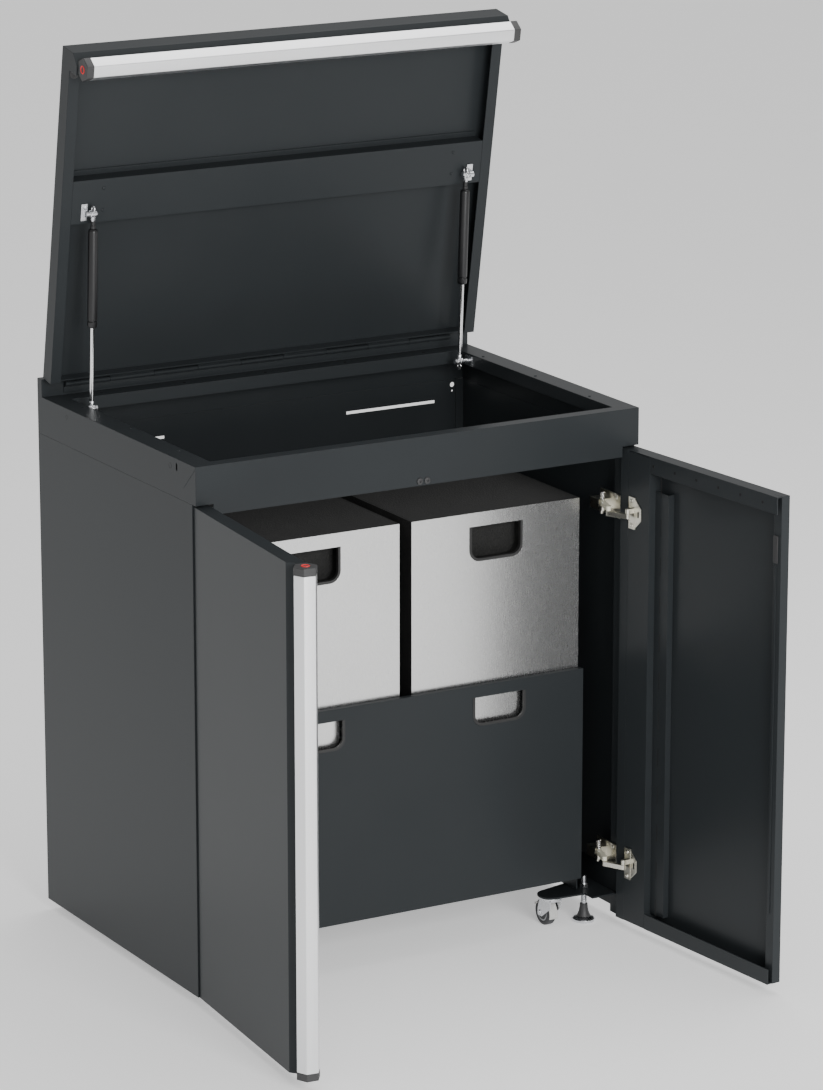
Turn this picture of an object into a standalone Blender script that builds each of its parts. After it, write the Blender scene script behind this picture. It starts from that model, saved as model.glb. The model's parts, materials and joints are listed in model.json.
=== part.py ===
"""Rolling tool chest: a steel cabinet with a gas-strut lid, two doors and a pull-out bin carrier.

Units are metres. +Z is up, the front faces -Y, and the origin is on the floor in the middle of
everything that the open chest covers. The lid and both doors stand open, as modelled.
"""

import math

import bmesh
import bpy
from mathutils import Vector

# ---- overall sizes ----
CABINET_WIDTH = 0.900
CABINET_DEPTH = 0.627
RIM_HEIGHT = 0.990
FLOOR_GAP = 0.021

# ---- sheet metal ----
SHEET = 0.002
TOUCH_GAP = 0.0003
TOP_FRAME_HEIGHT = 0.069
FRONT_BEAM_HEIGHT = 0.0885
BEAM_END_NOTCH = 0.034
SIDE_RIM_WIDTH = 0.041
FRONT_RIM_WIDTH = 0.025
REAR_RIM_WIDTH = 0.057
RIM_LIP = 0.024
UPSTAND_DEPTH = 0.0177
UPSTAND_HEIGHT = 0.033
POST_WIDTH = 0.023
POST_DEPTH = 0.028
POST_SETBACK = 0.014
POST_RETURN = 0.011
REAR_FOLD = 0.018
CABLE_SLOT_LENGTH = 0.194
CABLE_SLOT_HEIGHT = 0.006
CABLE_SLOT_CENTRE = 0.290
CABLE_SLOT_DROP = 0.109
BACK_HOLE_INSET = 0.0245
BACK_HOLE_RADIUS = 0.005
PILOT_HOLE_RADIUS = 0.002
BACK_HOLE_DROP = 0.080
PILOT_HOLE_DROP = 0.092

# ---- doors ----
DOOR_OPEN = math.radians(95)
DOOR_THICKNESS = 0.0284
DOOR_TOP_GAP = 0.004
DOOR_END_REACH = 0.0103
DOOR_EDGE_INSET = 0.011
DOOR_FLANGE = 0.020
DOOR_TOP_RAIL = 0.031
DOOR_BOTTOM_RAIL = 0.029
DOOR_SEAM = 0.023
DOOR_STILE_END = 0.085
DOOR_MEETING_GAP = 0.002
NOSE_CHAMFER = 0.018
STIFFENER_WIDTH = 0.039
STIFFENER_DEPTH = 0.012
STIFFENER_TOP_GAP = 0.035

# ---- hexagonal bars ----
BAR_RADIUS = 0.0211
BAR_WALL = 0.003
BAR_SETTING = 0.0194
BAR_CENTRE_OFFSET = 0.0157

# ---- door hinges ----
HINGE_END_DISTANCE = 0.114
HINGE_PLATE_HEIGHT = 0.0595
HINGE_PLATE_WIDTH = 0.018
HINGE_PLATE_THICKNESS = 0.0025
HINGE_PLATE_PLACE = 0.037
HINGE_KNUCKLE_HEIGHT = 0.012
HINGE_BASE_INSET = 0.046
HINGE_BASE_SETBACK = 0.046
HINGE_BASE_LENGTH = 0.068
HINGE_LINK_LENGTH = 0.040
HINGE_BODY_HEIGHT = 0.020
HINGE_LINK_RADIUS = 0.0045
HINGE_PIN_RADIUS = 0.002
RUNNING_CLEARANCE = 0.0004

# ---- lid ----
LID_OPEN = math.radians(80)
LID_WIDTH_INSET = 0.004
LID_OVERHANG = 0.0437
LID_SIDE_DEPTH = 0.0325
LID_REST_GAP = 0.0005
LID_REAR_GAP = 0.0200
LID_RETURN = 0.021
LID_REAR_LIP = 0.024
LID_NOSE_DEPTH = 0.042
LID_NOSE_WIDTH = 0.036
LID_AXIS_BACK = 0.0125
LID_AXIS_DROP = 0.0114
LID_BAR_SHORTFALL = 0.0046
BRACE_CENTRE = 0.346
BRACE_WIDTH = 0.078
BRACE_FLANGE = 0.012
BRACE_DEPTH = 0.0295
LID_HINGE_RADIUS = 0.0045
LID_HINGE_PIN = 0.0015
LID_HINGE_KNUCKLES = 9
LID_HINGE_INSET = 0.040

# ---- gas struts ----
STRUT_STUD = 0.022
STRUT_FOOT_DISTANCE = 0.0375
STRUT_FOOT_DROP = 0.012
STRUT_HEAD_PLACE = 0.327
STRUT_HEAD_DEPTH = 0.043
STRUT_TUBE_RADIUS = 0.009
STRUT_TUBE_LENGTH = 0.183
STRUT_ROD_RADIUS = 0.004
STRUT_ROD_INSIDE = 0.030
STRUT_BORE_DEPTH = 0.150
STRUT_NECK = 0.028
STRUT_EYE = 0.013
STRUT_PIN_RADIUS = 0.0035
STRUT_CLIP_WIDTH = 0.012
STRUT_BALL_RADIUS = 0.006
STRUT_BALL_LENGTH = 0.008

# ---- base, feet and casters ----
BASE_PLATE_HEIGHT = 0.062
BASE_PLATE_THICKNESS = 0.003
BASE_RAIL_TOP = 0.1095
BASE_LEDGE_WIDTH = 0.055
PLATE_MARGIN = 0.011
CORNER_FROM_FRONT = 0.072
FOOT_FROM_SIDE = 0.062
FOOT_STUD_RADIUS = 0.005
FOOT_STUD_TOP = 0.088
FOOT_DISC_RADIUS = 0.021
FOOT_DISC_HEIGHT = 0.010
CASTER_FROM_SIDE = 0.134
CASTER_TRAIL = 0.018
WHEEL_RADIUS = 0.025
WHEEL_WIDTH = 0.018
AXLE_RADIUS = 0.003
FORK_CLEARANCE = 0.0015
FORK_SHEET = 0.0025
SWIVEL_RADIUS = 0.020

# ---- carrier and bins ----
CARRIER_SIDE_GAP = 0.083
CARRIER_FRONT_SETBACK = 0.048
CARRIER_FRONT_BOTTOM = 0.0935
CARRIER_FRONT_HEIGHT = 0.4055
CARRIER_RETURN = 0.012
CARRIER_FLOOR = 0.095
CARRIER_RIM = 0.040
RUNNER_SETBACK = 0.100
RUNNER_LENGTH = 0.420
RUNNER_HEIGHT = 0.026
RUNNER_WIDTH = 0.014
BIN_FRONT_SETBACK = 0.062
BIN_DEPTH = 0.430
BIN_TOP = 0.819
BIN_CENTRE_GAP = 0.0246
BIN_SIDE_GAP = 0.003
BIN_WALL = 0.004
BIN_FACE = 0.0015
BIN_LID_DEPTH = 0.012
BIN_LID_CLEARANCE = 0.0006
HANDLE_WIDTH = 0.112
HANDLE_HEIGHT = 0.065
HANDLE_DROP = 0.026
HANDLE_RADIUS = 0.022
PANEL_HANDLE_HEIGHT = 0.055
PANEL_HANDLE_DROP = 0.022

# ---- worked out ----
HALF = CABINET_WIDTH / 2
DOOR_STANDOFF = LID_OVERHANG - DOOR_THICKNESS
HEX_HALF_FLAT = BAR_RADIUS * math.cos(math.radians(30))
DOOR_PIVOT_INSET = (DOOR_END_REACH + DOOR_THICKNESS + DOOR_STANDOFF) / 2
LEFT_BAR_PLACE = HALF - BAR_CENTRE_OFFSET
LEFT_DOOR_END = LEFT_BAR_PLACE - HEX_HALF_FLAT - TOUCH_GAP
RIGHT_DOOR_END = HALF + BAR_CENTRE_OFFSET - HEX_HALF_FLAT - DOOR_MEETING_GAP
DOOR_REACH = (LEFT_BAR_PLACE + HEX_HALF_FLAT - DOOR_PIVOT_INSET) * math.sin(DOOR_OPEN)
FRONT_OF_PIVOT = DOOR_THICKNESS + DOOR_STANDOFF - DOOR_PIVOT_INSET
FRONT = (DOOR_REACH + FRONT_OF_PIVOT - CABINET_DEPTH) / 2
REAR = FRONT + CABINET_DEPTH
FRAME_BOTTOM = RIM_HEIGHT - TOP_FRAME_HEIGHT
BEAM_BOTTOM = RIM_HEIGHT - FRONT_BEAM_HEIGHT
POST_FRONT = FRONT + POST_SETBACK
POST_INNER = HALF - POST_WIDTH
DOOR_BOTTOM = FLOOR_GAP
DOOR_TOP = FRAME_BOTTOM - DOOR_TOP_GAP
DOOR_PIVOT_X = HALF - DOOR_PIVOT_INSET
DOOR_PIVOT_Y = FRONT - FRONT_OF_PIVOT
LID_AXIS_Y = REAR - UPSTAND_DEPTH - (LID_REAR_GAP - LID_AXIS_BACK)
LID_AXIS_Z = RIM_HEIGHT + LID_SIDE_DEPTH - LID_AXIS_DROP
LID_LENGTH = LID_AXIS_Y - LID_AXIS_BACK - (FRONT - LID_OVERHANG)
LID_HALF = HALF - LID_WIDTH_INSET
LID_BAR_U = LID_LENGTH - (LID_NOSE_WIDTH - NOSE_CHAMFER) - 0.0018
LID_BAR_T = LID_NOSE_DEPTH + NOSE_CHAMFER + TOUCH_GAP + HEX_HALF_FLAT
CARRIER_HALF = HALF - CARRIER_SIDE_GAP
CARRIER_FRONT_TOP = CARRIER_FRONT_BOTTOM + CARRIER_FRONT_HEIGHT
BIN_FRONT = FRONT + BIN_FRONT_SETBACK
BIN_OUTER = CARRIER_HALF - BIN_SIDE_GAP
BIN_INNER = BIN_CENTRE_GAP / 2
BIN_BOTTOM = CARRIER_FLOOR + SHEET + TOUCH_GAP


# ---- small tools ----
def material(name, colour, roughness, metallic):
    made = bpy.data.materials.new(name)
    made.use_nodes = True
    shader = made.node_tree.nodes["Principled BSDF"]
    shader.inputs["Base Color"].default_value = (*colour, 1)
    shader.inputs["Roughness"].default_value = roughness
    shader.inputs["Metallic"].default_value = metallic
    return made


def axis_empty(name, place, parent=None, turn=(0, 0, 0)):
    """An empty on a joint's axis, which the moving pieces hang from."""
    empty = bpy.data.objects.new(name, None)
    bpy.context.collection.objects.link(empty)
    empty.parent = parent
    empty.location = place
    empty.rotation_euler = turn
    return empty


def add_piece(name, mesh_maker, look, parent=None):
    """A mesh object whose bmesh is filled in by mesh_maker."""
    mesh = bpy.data.meshes.new(name)
    body = bmesh.new()
    mesh_maker(body)
    bmesh.ops.recalc_face_normals(body, faces=body.faces)
    body.to_mesh(mesh)
    body.free()
    piece = bpy.data.objects.new(name, mesh)
    bpy.context.collection.objects.link(piece)
    piece.parent = parent
    if look:
        mesh.materials.append(look)
    return piece


def prism(name, outline, axis, low, high, look, parent=None):
    """An outline pushed along X, Y or Z. Its points are the other two coordinates, in XYZ order."""

    def fill(body):
        def point(pair, along):
            coordinates = list(pair)
            coordinates.insert("XYZ".index(axis), along)
            return coordinates

        bottom = [body.verts.new(point(pair, low)) for pair in outline]
        top = [body.verts.new(point(pair, high)) for pair in outline]
        body.faces.new(bottom)
        body.faces.new(reversed(top))
        for index in range(len(outline)):
            after = (index + 1) % len(outline)
            body.faces.new((bottom[index], top[index], top[after], bottom[after]))

    return add_piece(name, fill, look, parent)


def box(name, corner, other, look, parent=None):
    low = [min(pair) for pair in zip(corner, other)]
    high = [max(pair) for pair in zip(corner, other)]
    outline = [(low[0], low[1]), (high[0], low[1]), (high[0], high[1]), (low[0], high[1])]
    return prism(name, outline, "Z", low[2], high[2], look, parent)


def circle(centre, radius, count, phase=0.0):
    steps = [phase + 2 * math.pi * index / count for index in range(count)]
    return [(centre[0] + radius * math.cos(a), centre[1] + radius * math.sin(a)) for a in steps]


def drum(name, centre, radius, axis, low, high, look, parent=None, count=24):
    """A round bar. Its centre is the other two coordinates, in XYZ order."""
    piece = prism(name, circle(centre, radius, count), axis, low, high, look, parent)
    smooth(piece)
    return piece


def smooth(piece):
    piece.data.shade_smooth()
    piece.data.set_sharp_from_angle(angle=math.radians(35))


def helper(piece):
    piece.hide_render = True
    piece.display_type = "WIRE"
    return piece


def combine(piece, others, operation):
    for other in others:
        helper(other)
        step = piece.modifiers.new(operation.lower(), "BOOLEAN")
        step.operation = operation
        step.solver = "EXACT"
        step.object = other
    return piece


def join(piece, *others):
    return combine(piece, others, "UNION")


def cut(piece, *others):
    return combine(piece, others, "DIFFERENCE")


def folded(path, thickness):
    """The outline of a folded sheet: the path, and the same path moved to its left."""
    points = [Vector(point) for point in path]
    moved = []
    for index, point in enumerate(points):
        before = (point - points[index - 1]).normalized() if index else None
        after = (points[index + 1] - point).normalized() if index + 1 < len(points) else None
        before = before or after
        after = after or before
        left_before = Vector((-before.y, before.x))
        left_after = Vector((-after.y, after.x))
        mitre = left_before + left_after
        moved.append(point + mitre * (thickness / (mitre.dot(left_before))))
    return [tuple(point) for point in points + moved[::-1]]


def handle_outline(centre, top, width, height, radius):
    """A flat-topped opening with round lower corners."""
    low = top - height
    points = [(centre - width / 2, top), (centre + width / 2, top)]
    for side, start in ((1, 0), (-1, -90)):
        middle = (centre + side * (width / 2 - radius), low + radius)
        for step in range(7):
            angle = math.radians(start - 15 * step)
            points.append((middle[0] + radius * math.cos(angle), middle[1] + radius * math.sin(angle)))
    return points


def side_name(side):
    return "right" if side > 0 else "left"


# ---- cabinet ----
def make_side_panel(side, looks):
    front = POST_FRONT
    rear = REAR - SHEET - TOUCH_GAP
    path = [
        (HALF - REAR_FOLD, rear),
        (HALF, rear),
        (HALF, front),
        (POST_INNER, front),
        (POST_INNER, front + POST_DEPTH),
        (POST_INNER + POST_RETURN, front + POST_DEPTH),
    ]
    outline = [(side * x, y) for x, y in folded(path, -SHEET)]
    name = f"side_panel_{side_name(side)}"
    return prism(name, outline, "Z", FLOOR_GAP, FRAME_BOTTOM - TOUCH_GAP, looks["coat"])


def make_back_panel(looks):
    low = (-HALF, REAR - SHEET, FLOOR_GAP)
    panel = box("back_panel", low, (HALF, REAR, FRAME_BOTTOM - TOUCH_GAP), looks["coat"])
    cutters = []
    for side in (-1, 1):
        middle = side * CABLE_SLOT_CENTRE
        slot_z = RIM_HEIGHT - CABLE_SLOT_DROP
        corner = (middle - CABLE_SLOT_LENGTH / 2, REAR - 0.01, slot_z - CABLE_SLOT_HEIGHT / 2)
        other = (middle + CABLE_SLOT_LENGTH / 2, REAR + 0.01, slot_z + CABLE_SLOT_HEIGHT / 2)
        cutters.append(box(f"cable_slot_cutter_{side}", corner, other, None))
        hole_x = side * (HALF - BACK_HOLE_INSET)
        holes = ((BACK_HOLE_RADIUS, BACK_HOLE_DROP), (PILOT_HOLE_RADIUS, PILOT_HOLE_DROP))
        for radius, drop in holes:
            centre = (hole_x, RIM_HEIGHT - drop)
            name = f"back_hole_cutter_{side}_{drop}"
            cutters.append(drum(name, centre, radius, "Y", REAR - 0.01, REAR + 0.01, None, count=12))
    return cut(panel, *cutters)


def make_top_frame(looks):
    """The welded ring round the top: front beam, rims with their lips, and the rear upstand."""
    look = looks["coat"]
    frame = box("top_frame", (-HALF, FRONT, FRAME_BOTTOM), (HALF, REAR, RIM_HEIGHT), look)
    upstand_front = REAR - UPSTAND_DEPTH
    upstand = box(
        "upstand_block",
        (-HALF, upstand_front, RIM_HEIGHT - 0.01),
        (HALF, REAR, RIM_HEIGHT + UPSTAND_HEIGHT),
        None,
    )
    beam_half = HALF - BEAM_END_NOTCH
    beam_path = [
        (FRONT + FRONT_RIM_WIDTH, BEAM_BOTTOM),
        (FRONT, BEAM_BOTTOM),
        (FRONT, RIM_HEIGHT - 0.01),
    ]
    beam = prism("front_beam", folded(beam_path, -SHEET), "X", -beam_half, beam_half, None)
    hollow = box(
        "frame_hollow",
        (-HALF + SHEET, FRONT + SHEET, FRAME_BOTTOM - 0.01),
        (HALF - SHEET, REAR - SHEET, RIM_HEIGHT - SHEET),
        None,
    )
    upstand_hollow = box(
        "upstand_hollow",
        (-HALF + SHEET, upstand_front + SHEET, RIM_HEIGHT - 0.01),
        (HALF - SHEET, REAR - SHEET, RIM_HEIGHT + UPSTAND_HEIGHT - SHEET),
        None,
    )
    mouth_x = HALF - SIDE_RIM_WIDTH
    mouth_low = FRONT + FRONT_RIM_WIDTH
    mouth_high = REAR - REAR_RIM_WIDTH
    lip = box(
        "rim_lip",
        (-mouth_x - SHEET, mouth_low - SHEET, RIM_HEIGHT - RIM_LIP),
        (mouth_x + SHEET, mouth_high + SHEET, RIM_HEIGHT - SHEET / 2),
        None,
    )
    mouth = box(
        "rim_mouth",
        (-mouth_x, mouth_low, FRAME_BOTTOM - 0.01),
        (mouth_x, mouth_high, RIM_HEIGHT + 0.01),
        None,
    )
    join(frame, upstand)
    cut(frame, hollow, upstand_hollow)
    join(frame, lip, beam)
    return cut(frame, mouth)


# ---- base, feet and casters ----
def corner_y(end):
    """The line of the feet and casters: end is -1 at the front and 1 at the rear."""
    return FRONT + CORNER_FROM_FRONT if end < 0 else REAR - CORNER_FROM_FRONT


def make_base_rail(side, looks):
    """A rail along the side, with its two corner plates and the carrier's runner channel."""
    name = f"base_rail_{side_name(side)}"
    outer = POST_INNER - TOUCH_GAP
    low = BASE_PLATE_HEIGHT
    top = low + BASE_PLATE_THICKNESS
    rail_front = POST_FRONT + SHEET
    rail_rear = REAR - SHEET - REAR_FOLD
    path = [(outer - BASE_LEDGE_WIDTH, low), (outer, low), (outer, BASE_RAIL_TOP)]
    outline = [(side * x, z) for x, z in folded(path, BASE_PLATE_THICKNESS)]
    rail = prism(name, outline, "Y", rail_front, rail_rear, looks["dark"])
    parts = []
    holes = []
    for end in (-1, 1):
        y = corner_y(end)
        foot_x = HALF - FOOT_FROM_SIDE
        caster_x = HALF - CASTER_FROM_SIDE
        reach = FOOT_DISC_RADIUS + PLATE_MARGIN
        low_y, high_y = sorted((y + end * reach, y - end * (reach + PLATE_MARGIN)))
        round_end = circle((caster_x, y), SWIVEL_RADIUS + PLATE_MARGIN / 2, 24, math.pi / 2)[:13]
        edge = outer - TOUCH_GAP
        plate = [(edge, high_y), (edge, low_y), (foot_x, low_y)] + round_end[::-1] + [(foot_x, high_y)]
        flipped = [(side * x, plate_y) for x, plate_y in plate]
        parts.append(prism(f"corner_plate_{side}_{end}", flipped, "Z", low, top, None))
        centre = (side * foot_x, y)
        radius = FOOT_STUD_RADIUS + RUNNING_CLEARANCE
        name = f"stud_hole_cutter_{side}_{end}"
        holes.append(drum(name, centre, radius, "Z", low - 0.01, top + 0.01, None))
    inner = CARRIER_HALF + 0.003
    wall = inner + RUNNER_WIDTH
    channel = [
        (inner + 0.004, top + RUNNER_HEIGHT),
        (wall, top + RUNNER_HEIGHT),
        (wall, top - 0.001),
    ]
    outline = [(side * x, z) for x, z in folded(channel, -SHEET)]
    start = FRONT + RUNNER_SETBACK
    parts.append(prism(f"runner_{side}", outline, "Y", start, start + RUNNER_LENGTH, None))
    join(rail, *parts)
    return cut(rail, *holes)


def make_levelling_foot(side, end, looks):
    place = (side * (HALF - FOOT_FROM_SIDE), corner_y(end), 0)
    axis = axis_empty(f"axis_foot_{side_name(side)}_{end}", place)
    profile = [
        (FOOT_STUD_RADIUS, FOOT_STUD_TOP),
        (FOOT_STUD_RADIUS, FOOT_DISC_HEIGHT + 0.004),
        (FOOT_STUD_RADIUS + 0.003, FOOT_DISC_HEIGHT),
        (FOOT_DISC_RADIUS - 0.002, FOOT_DISC_HEIGHT - 0.003),
        (FOOT_DISC_RADIUS, FOOT_DISC_HEIGHT - 0.005),
        (FOOT_DISC_RADIUS, 0.0),
    ]
    where = "front" if end < 0 else "rear"
    name = f"levelling_foot_{where}_{side_name(side)}"
    return turned(name, profile, "Z", looks["zinc"], axis)


def turned(name, profile, axis, look, parent=None, count=24):
    """A solid turned about Z or X from (radius, height) points that run down its outer side."""

    def fill(body):
        rings = []
        for radius, height in profile:
            ring = []
            for x, y in circle((0, 0), radius, count):
                ring.append(body.verts.new((x, y, height) if axis == "Z" else (height, x, y)))
            rings.append(ring)
        for upper, lower in zip(rings, rings[1:]):
            for index in range(count):
                after = (index + 1) % count
                body.faces.new((upper[index], upper[after], lower[after], lower[index]))
        body.faces.new(rings[0])
        body.faces.new(rings[-1])

    piece = add_piece(name, fill, look, parent)
    smooth(piece)
    return piece


def make_caster(side, end, looks):
    where = f"{'front' if end < 0 else 'rear'}_{side_name(side)}"
    place = (side * (HALF - CASTER_FROM_SIDE), corner_y(end), 0)
    swivel = axis_empty(f"axis_swivel_{where}", place)
    axle = axis_empty(f"axis_wheel_{where}", (0, CASTER_TRAIL, WHEEL_RADIUS), swivel)
    inside = WHEEL_WIDTH / 2 + FORK_CLEARANCE
    outside = inside + FORK_SHEET
    top = BASE_PLATE_HEIGHT - TOUCH_GAP
    crown = WHEEL_RADIUS * 2 + 0.003
    cheek = [
        (-0.018, crown + FORK_SHEET),
        (-0.018, crown - 0.012),
        (CASTER_TRAIL - 0.007, WHEEL_RADIUS - 0.006),
        (CASTER_TRAIL + 0.007, WHEEL_RADIUS - 0.006),
        (CASTER_TRAIL + 0.007, WHEEL_RADIUS + 0.008),
        (CASTER_TRAIL, crown + FORK_SHEET),
    ]
    fork = prism(f"caster_fork_{where}", cheek, "X", -outside, outside, looks["zinc"], swivel)
    slot = box(
        f"fork_slot_{where}", (-inside, -0.03, -0.01), (inside, CASTER_TRAIL + 0.03, crown), None, swivel
    )
    head = drum(f"swivel_{where}", (0, 0), SWIVEL_RADIUS, "Z", crown + 0.001, top, None, swivel)
    pin = drum(
        f"axle_{where}",
        (CASTER_TRAIL, WHEEL_RADIUS),
        AXLE_RADIUS,
        "X",
        -outside - 0.002,
        outside + 0.002,
        None,
        swivel,
        16,
    )
    cut(fork, slot)
    join(fork, head, pin)
    half = WHEEL_WIDTH / 2
    profile = [
        (AXLE_RADIUS * 2.2, half),
        (WHEEL_RADIUS - 0.006, half),
        (WHEEL_RADIUS - 0.0015, half - 0.0015),
        (WHEEL_RADIUS, half - 0.004),
        (WHEEL_RADIUS, -half + 0.004),
        (WHEEL_RADIUS - 0.0015, -half + 0.0015),
        (WHEEL_RADIUS - 0.006, -half),
        (AXLE_RADIUS * 2.2, -half),
    ]
    wheel = turned(f"caster_wheel_{where}", profile, "X", looks["tyre"], axle, 32)
    bore = drum(
        f"wheel_bore_{where}", (0, 0), AXLE_RADIUS + RUNNING_CLEARANCE, "X", -0.02, 0.02, None, axle, 16
    )
    cut(wheel, bore)
    return fork, wheel


# ---- doors ----
def door_axis(side):
    """The door's own frame: X runs along the shut door, away from the centre on the right."""
    place = (side * DOOR_PIVOT_X, DOOR_PIVOT_Y, 0)
    return axis_empty(f"axis_door_{side_name(side)}", place, None, (0, 0, side * DOOR_OPEN))


def on_door(side, along, depth):
    """Door frame coordinates, from the distance from the hinge edge and the depth from outside."""
    return (side * (DOOR_PIVOT_INSET - along), depth - DOOR_PIVOT_INSET)


def door_prism(name, outline, side, low, high, look, parent):
    flat = [on_door(side, along, depth) for along, depth in outline]
    return prism(name, flat, "Z", low, high, look, parent)


def door_box(name, along, depth, height, side, look, parent):
    outline = [
        (along[0], depth[0]),
        (along[1], depth[0]),
        (along[1], depth[1]),
        (along[0], depth[1]),
    ]
    return door_prism(name, outline, side, height[0], height[1], look, parent)


def make_door(side, parent, looks):
    """The folded outer skin, the stile behind its hinge edge, and the upright stiffener."""
    name = side_name(side)
    thick = DOOR_THICKNESS
    bury = SHEET / 2
    deep = thick - bury
    if side > 0:
        end = RIGHT_DOOR_END
        edge = thick - DOOR_EDGE_INSET
        path = [(end - DOOR_FLANGE, edge), (end, edge), (end, 0)]
        outline = [(bury, bury), (end - bury, bury), (end - bury, deep), (bury, deep)]
    else:
        end = LEFT_DOOR_END
        path = [
            (end - DOOR_FLANGE, thick),
            (end, thick),
            (end, NOSE_CHAMFER),
            (end - NOSE_CHAMFER, 0),
        ]
        outline = [
            (bury, bury),
            (end - NOSE_CHAMFER - bury / 2, bury),
            (end - bury, NOSE_CHAMFER + bury / 2),
            (end - bury, deep),
            (bury, deep),
        ]
    path += [(0, 0), (0, thick), (DOOR_SEAM, thick)]
    skin = door_prism(
        f"door_{name}_skin", folded(path, -SHEET), side, DOOR_BOTTOM, DOOR_TOP, looks["coat"], parent
    )
    stile_end = DOOR_STILE_END
    rails = []
    hide = TOUCH_GAP / 3
    for label, edge_z, inward, rail in (
        ("top", DOOR_TOP, -1, DOOR_TOP_RAIL),
        ("bottom", DOOR_BOTTOM, 1, DOOR_BOTTOM_RAIL),
    ):
        start = edge_z + inward * hide
        low, high = sorted((start, edge_z + inward * SHEET))
        rails.append(door_prism(f"door_{label}_cap_{name}", outline, side, low, high, None, parent))
        span = (stile_end + TOUCH_GAP, end - hide)
        depth = (thick - SHEET, thick - hide)
        height = sorted((edge_z + inward * 2 * hide, edge_z + inward * rail))
        rails.append(door_box(f"door_{label}_rail_{name}", span, depth, height, side, None, parent))
    join(skin, *rails)
    inner = SHEET + TOUCH_GAP
    start = DOOR_SEAM + TOUCH_GAP
    channel = [(start, inner), (start, thick), (stile_end, thick), (stile_end, inner)]
    stile = door_prism(
        f"door_{name}_stile",
        folded(channel, -SHEET),
        side,
        DOOR_BOTTOM + inner,
        DOOR_TOP - inner,
        looks["coat"],
        parent,
    )
    near = stile_end + TOUCH_GAP
    far = near + STIFFENER_WIDTH
    ribs = [
        (near, inner),
        (near, inner + STIFFENER_DEPTH),
        (far, inner + STIFFENER_DEPTH),
        (far, inner),
    ]
    stiffener = door_prism(
        f"door_{name}_stiffener",
        folded(ribs, -SHEET),
        side,
        DOOR_BOTTOM + DOOR_BOTTOM_RAIL,
        DOOR_TOP - DOOR_TOP_RAIL - STIFFENER_TOP_GAP,
        None,
        parent,
    )
    rib_link = door_box(
        f"rib_link_{name}",
        (stile_end - SHEET / 2, near + SHEET / 2),
        (inner + STIFFENER_DEPTH / 2 - SHEET, inner + STIFFENER_DEPTH / 2),
        (DOOR_BOTTOM + DOOR_BOTTOM_RAIL + 0.001, DOOR_TOP - DOOR_TOP_RAIL - STIFFENER_TOP_GAP - 0.001),
        side,
        None,
        parent,
    )
    join(stile, stiffener, rib_link)
    return skin, stile


def make_door_bar(parent, looks):
    centre = on_door(-1, LEFT_BAR_PLACE, BAR_SETTING)
    outer = circle(centre, BAR_RADIUS, 6, math.pi / 2)
    inner = circle(centre, BAR_RADIUS - BAR_WALL / math.cos(math.radians(30)), 6, math.pi / 2)
    bar = prism("door_bar", outer, "Z", DOOR_BOTTOM, DOOR_TOP, looks["aluminium"], parent)
    bore = prism("door_bar_bore", inner, "Z", DOOR_BOTTOM - 0.01, DOOR_TOP + 0.01, None, parent)
    return cut(bar, bore)


# ---- door hinges ----
def turned_open(side, point):
    """A door frame point, in the cabinet, with the door open."""
    angle = side * DOOR_OPEN
    x = point[0] * math.cos(angle) - point[1] * math.sin(angle)
    y = point[0] * math.sin(angle) + point[1] * math.cos(angle)
    return Vector((side * DOOR_PIVOT_X + x, DOOR_PIVOT_Y + y))


def elbow_of(side, base, knuckle):
    """Where two equal links from base to knuckle meet, on the side towards the cabinet's middle."""
    span = knuckle - base
    height = math.sqrt(HINGE_LINK_LENGTH**2 - (span.length / 2) ** 2)
    normal = Vector((-span.y, span.x)).normalized()
    if normal.x * side > 0:
        normal = -normal
    return base + span / 2 + normal * height


def link_outline(start, end, radius):
    along = math.atan2(end[1] - start[1], end[0] - start[0])
    points = circle(end, radius, 16, along - math.pi / 2)[:9]
    return points + circle(start, radius, 16, along + math.pi / 2)[:9]


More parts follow.
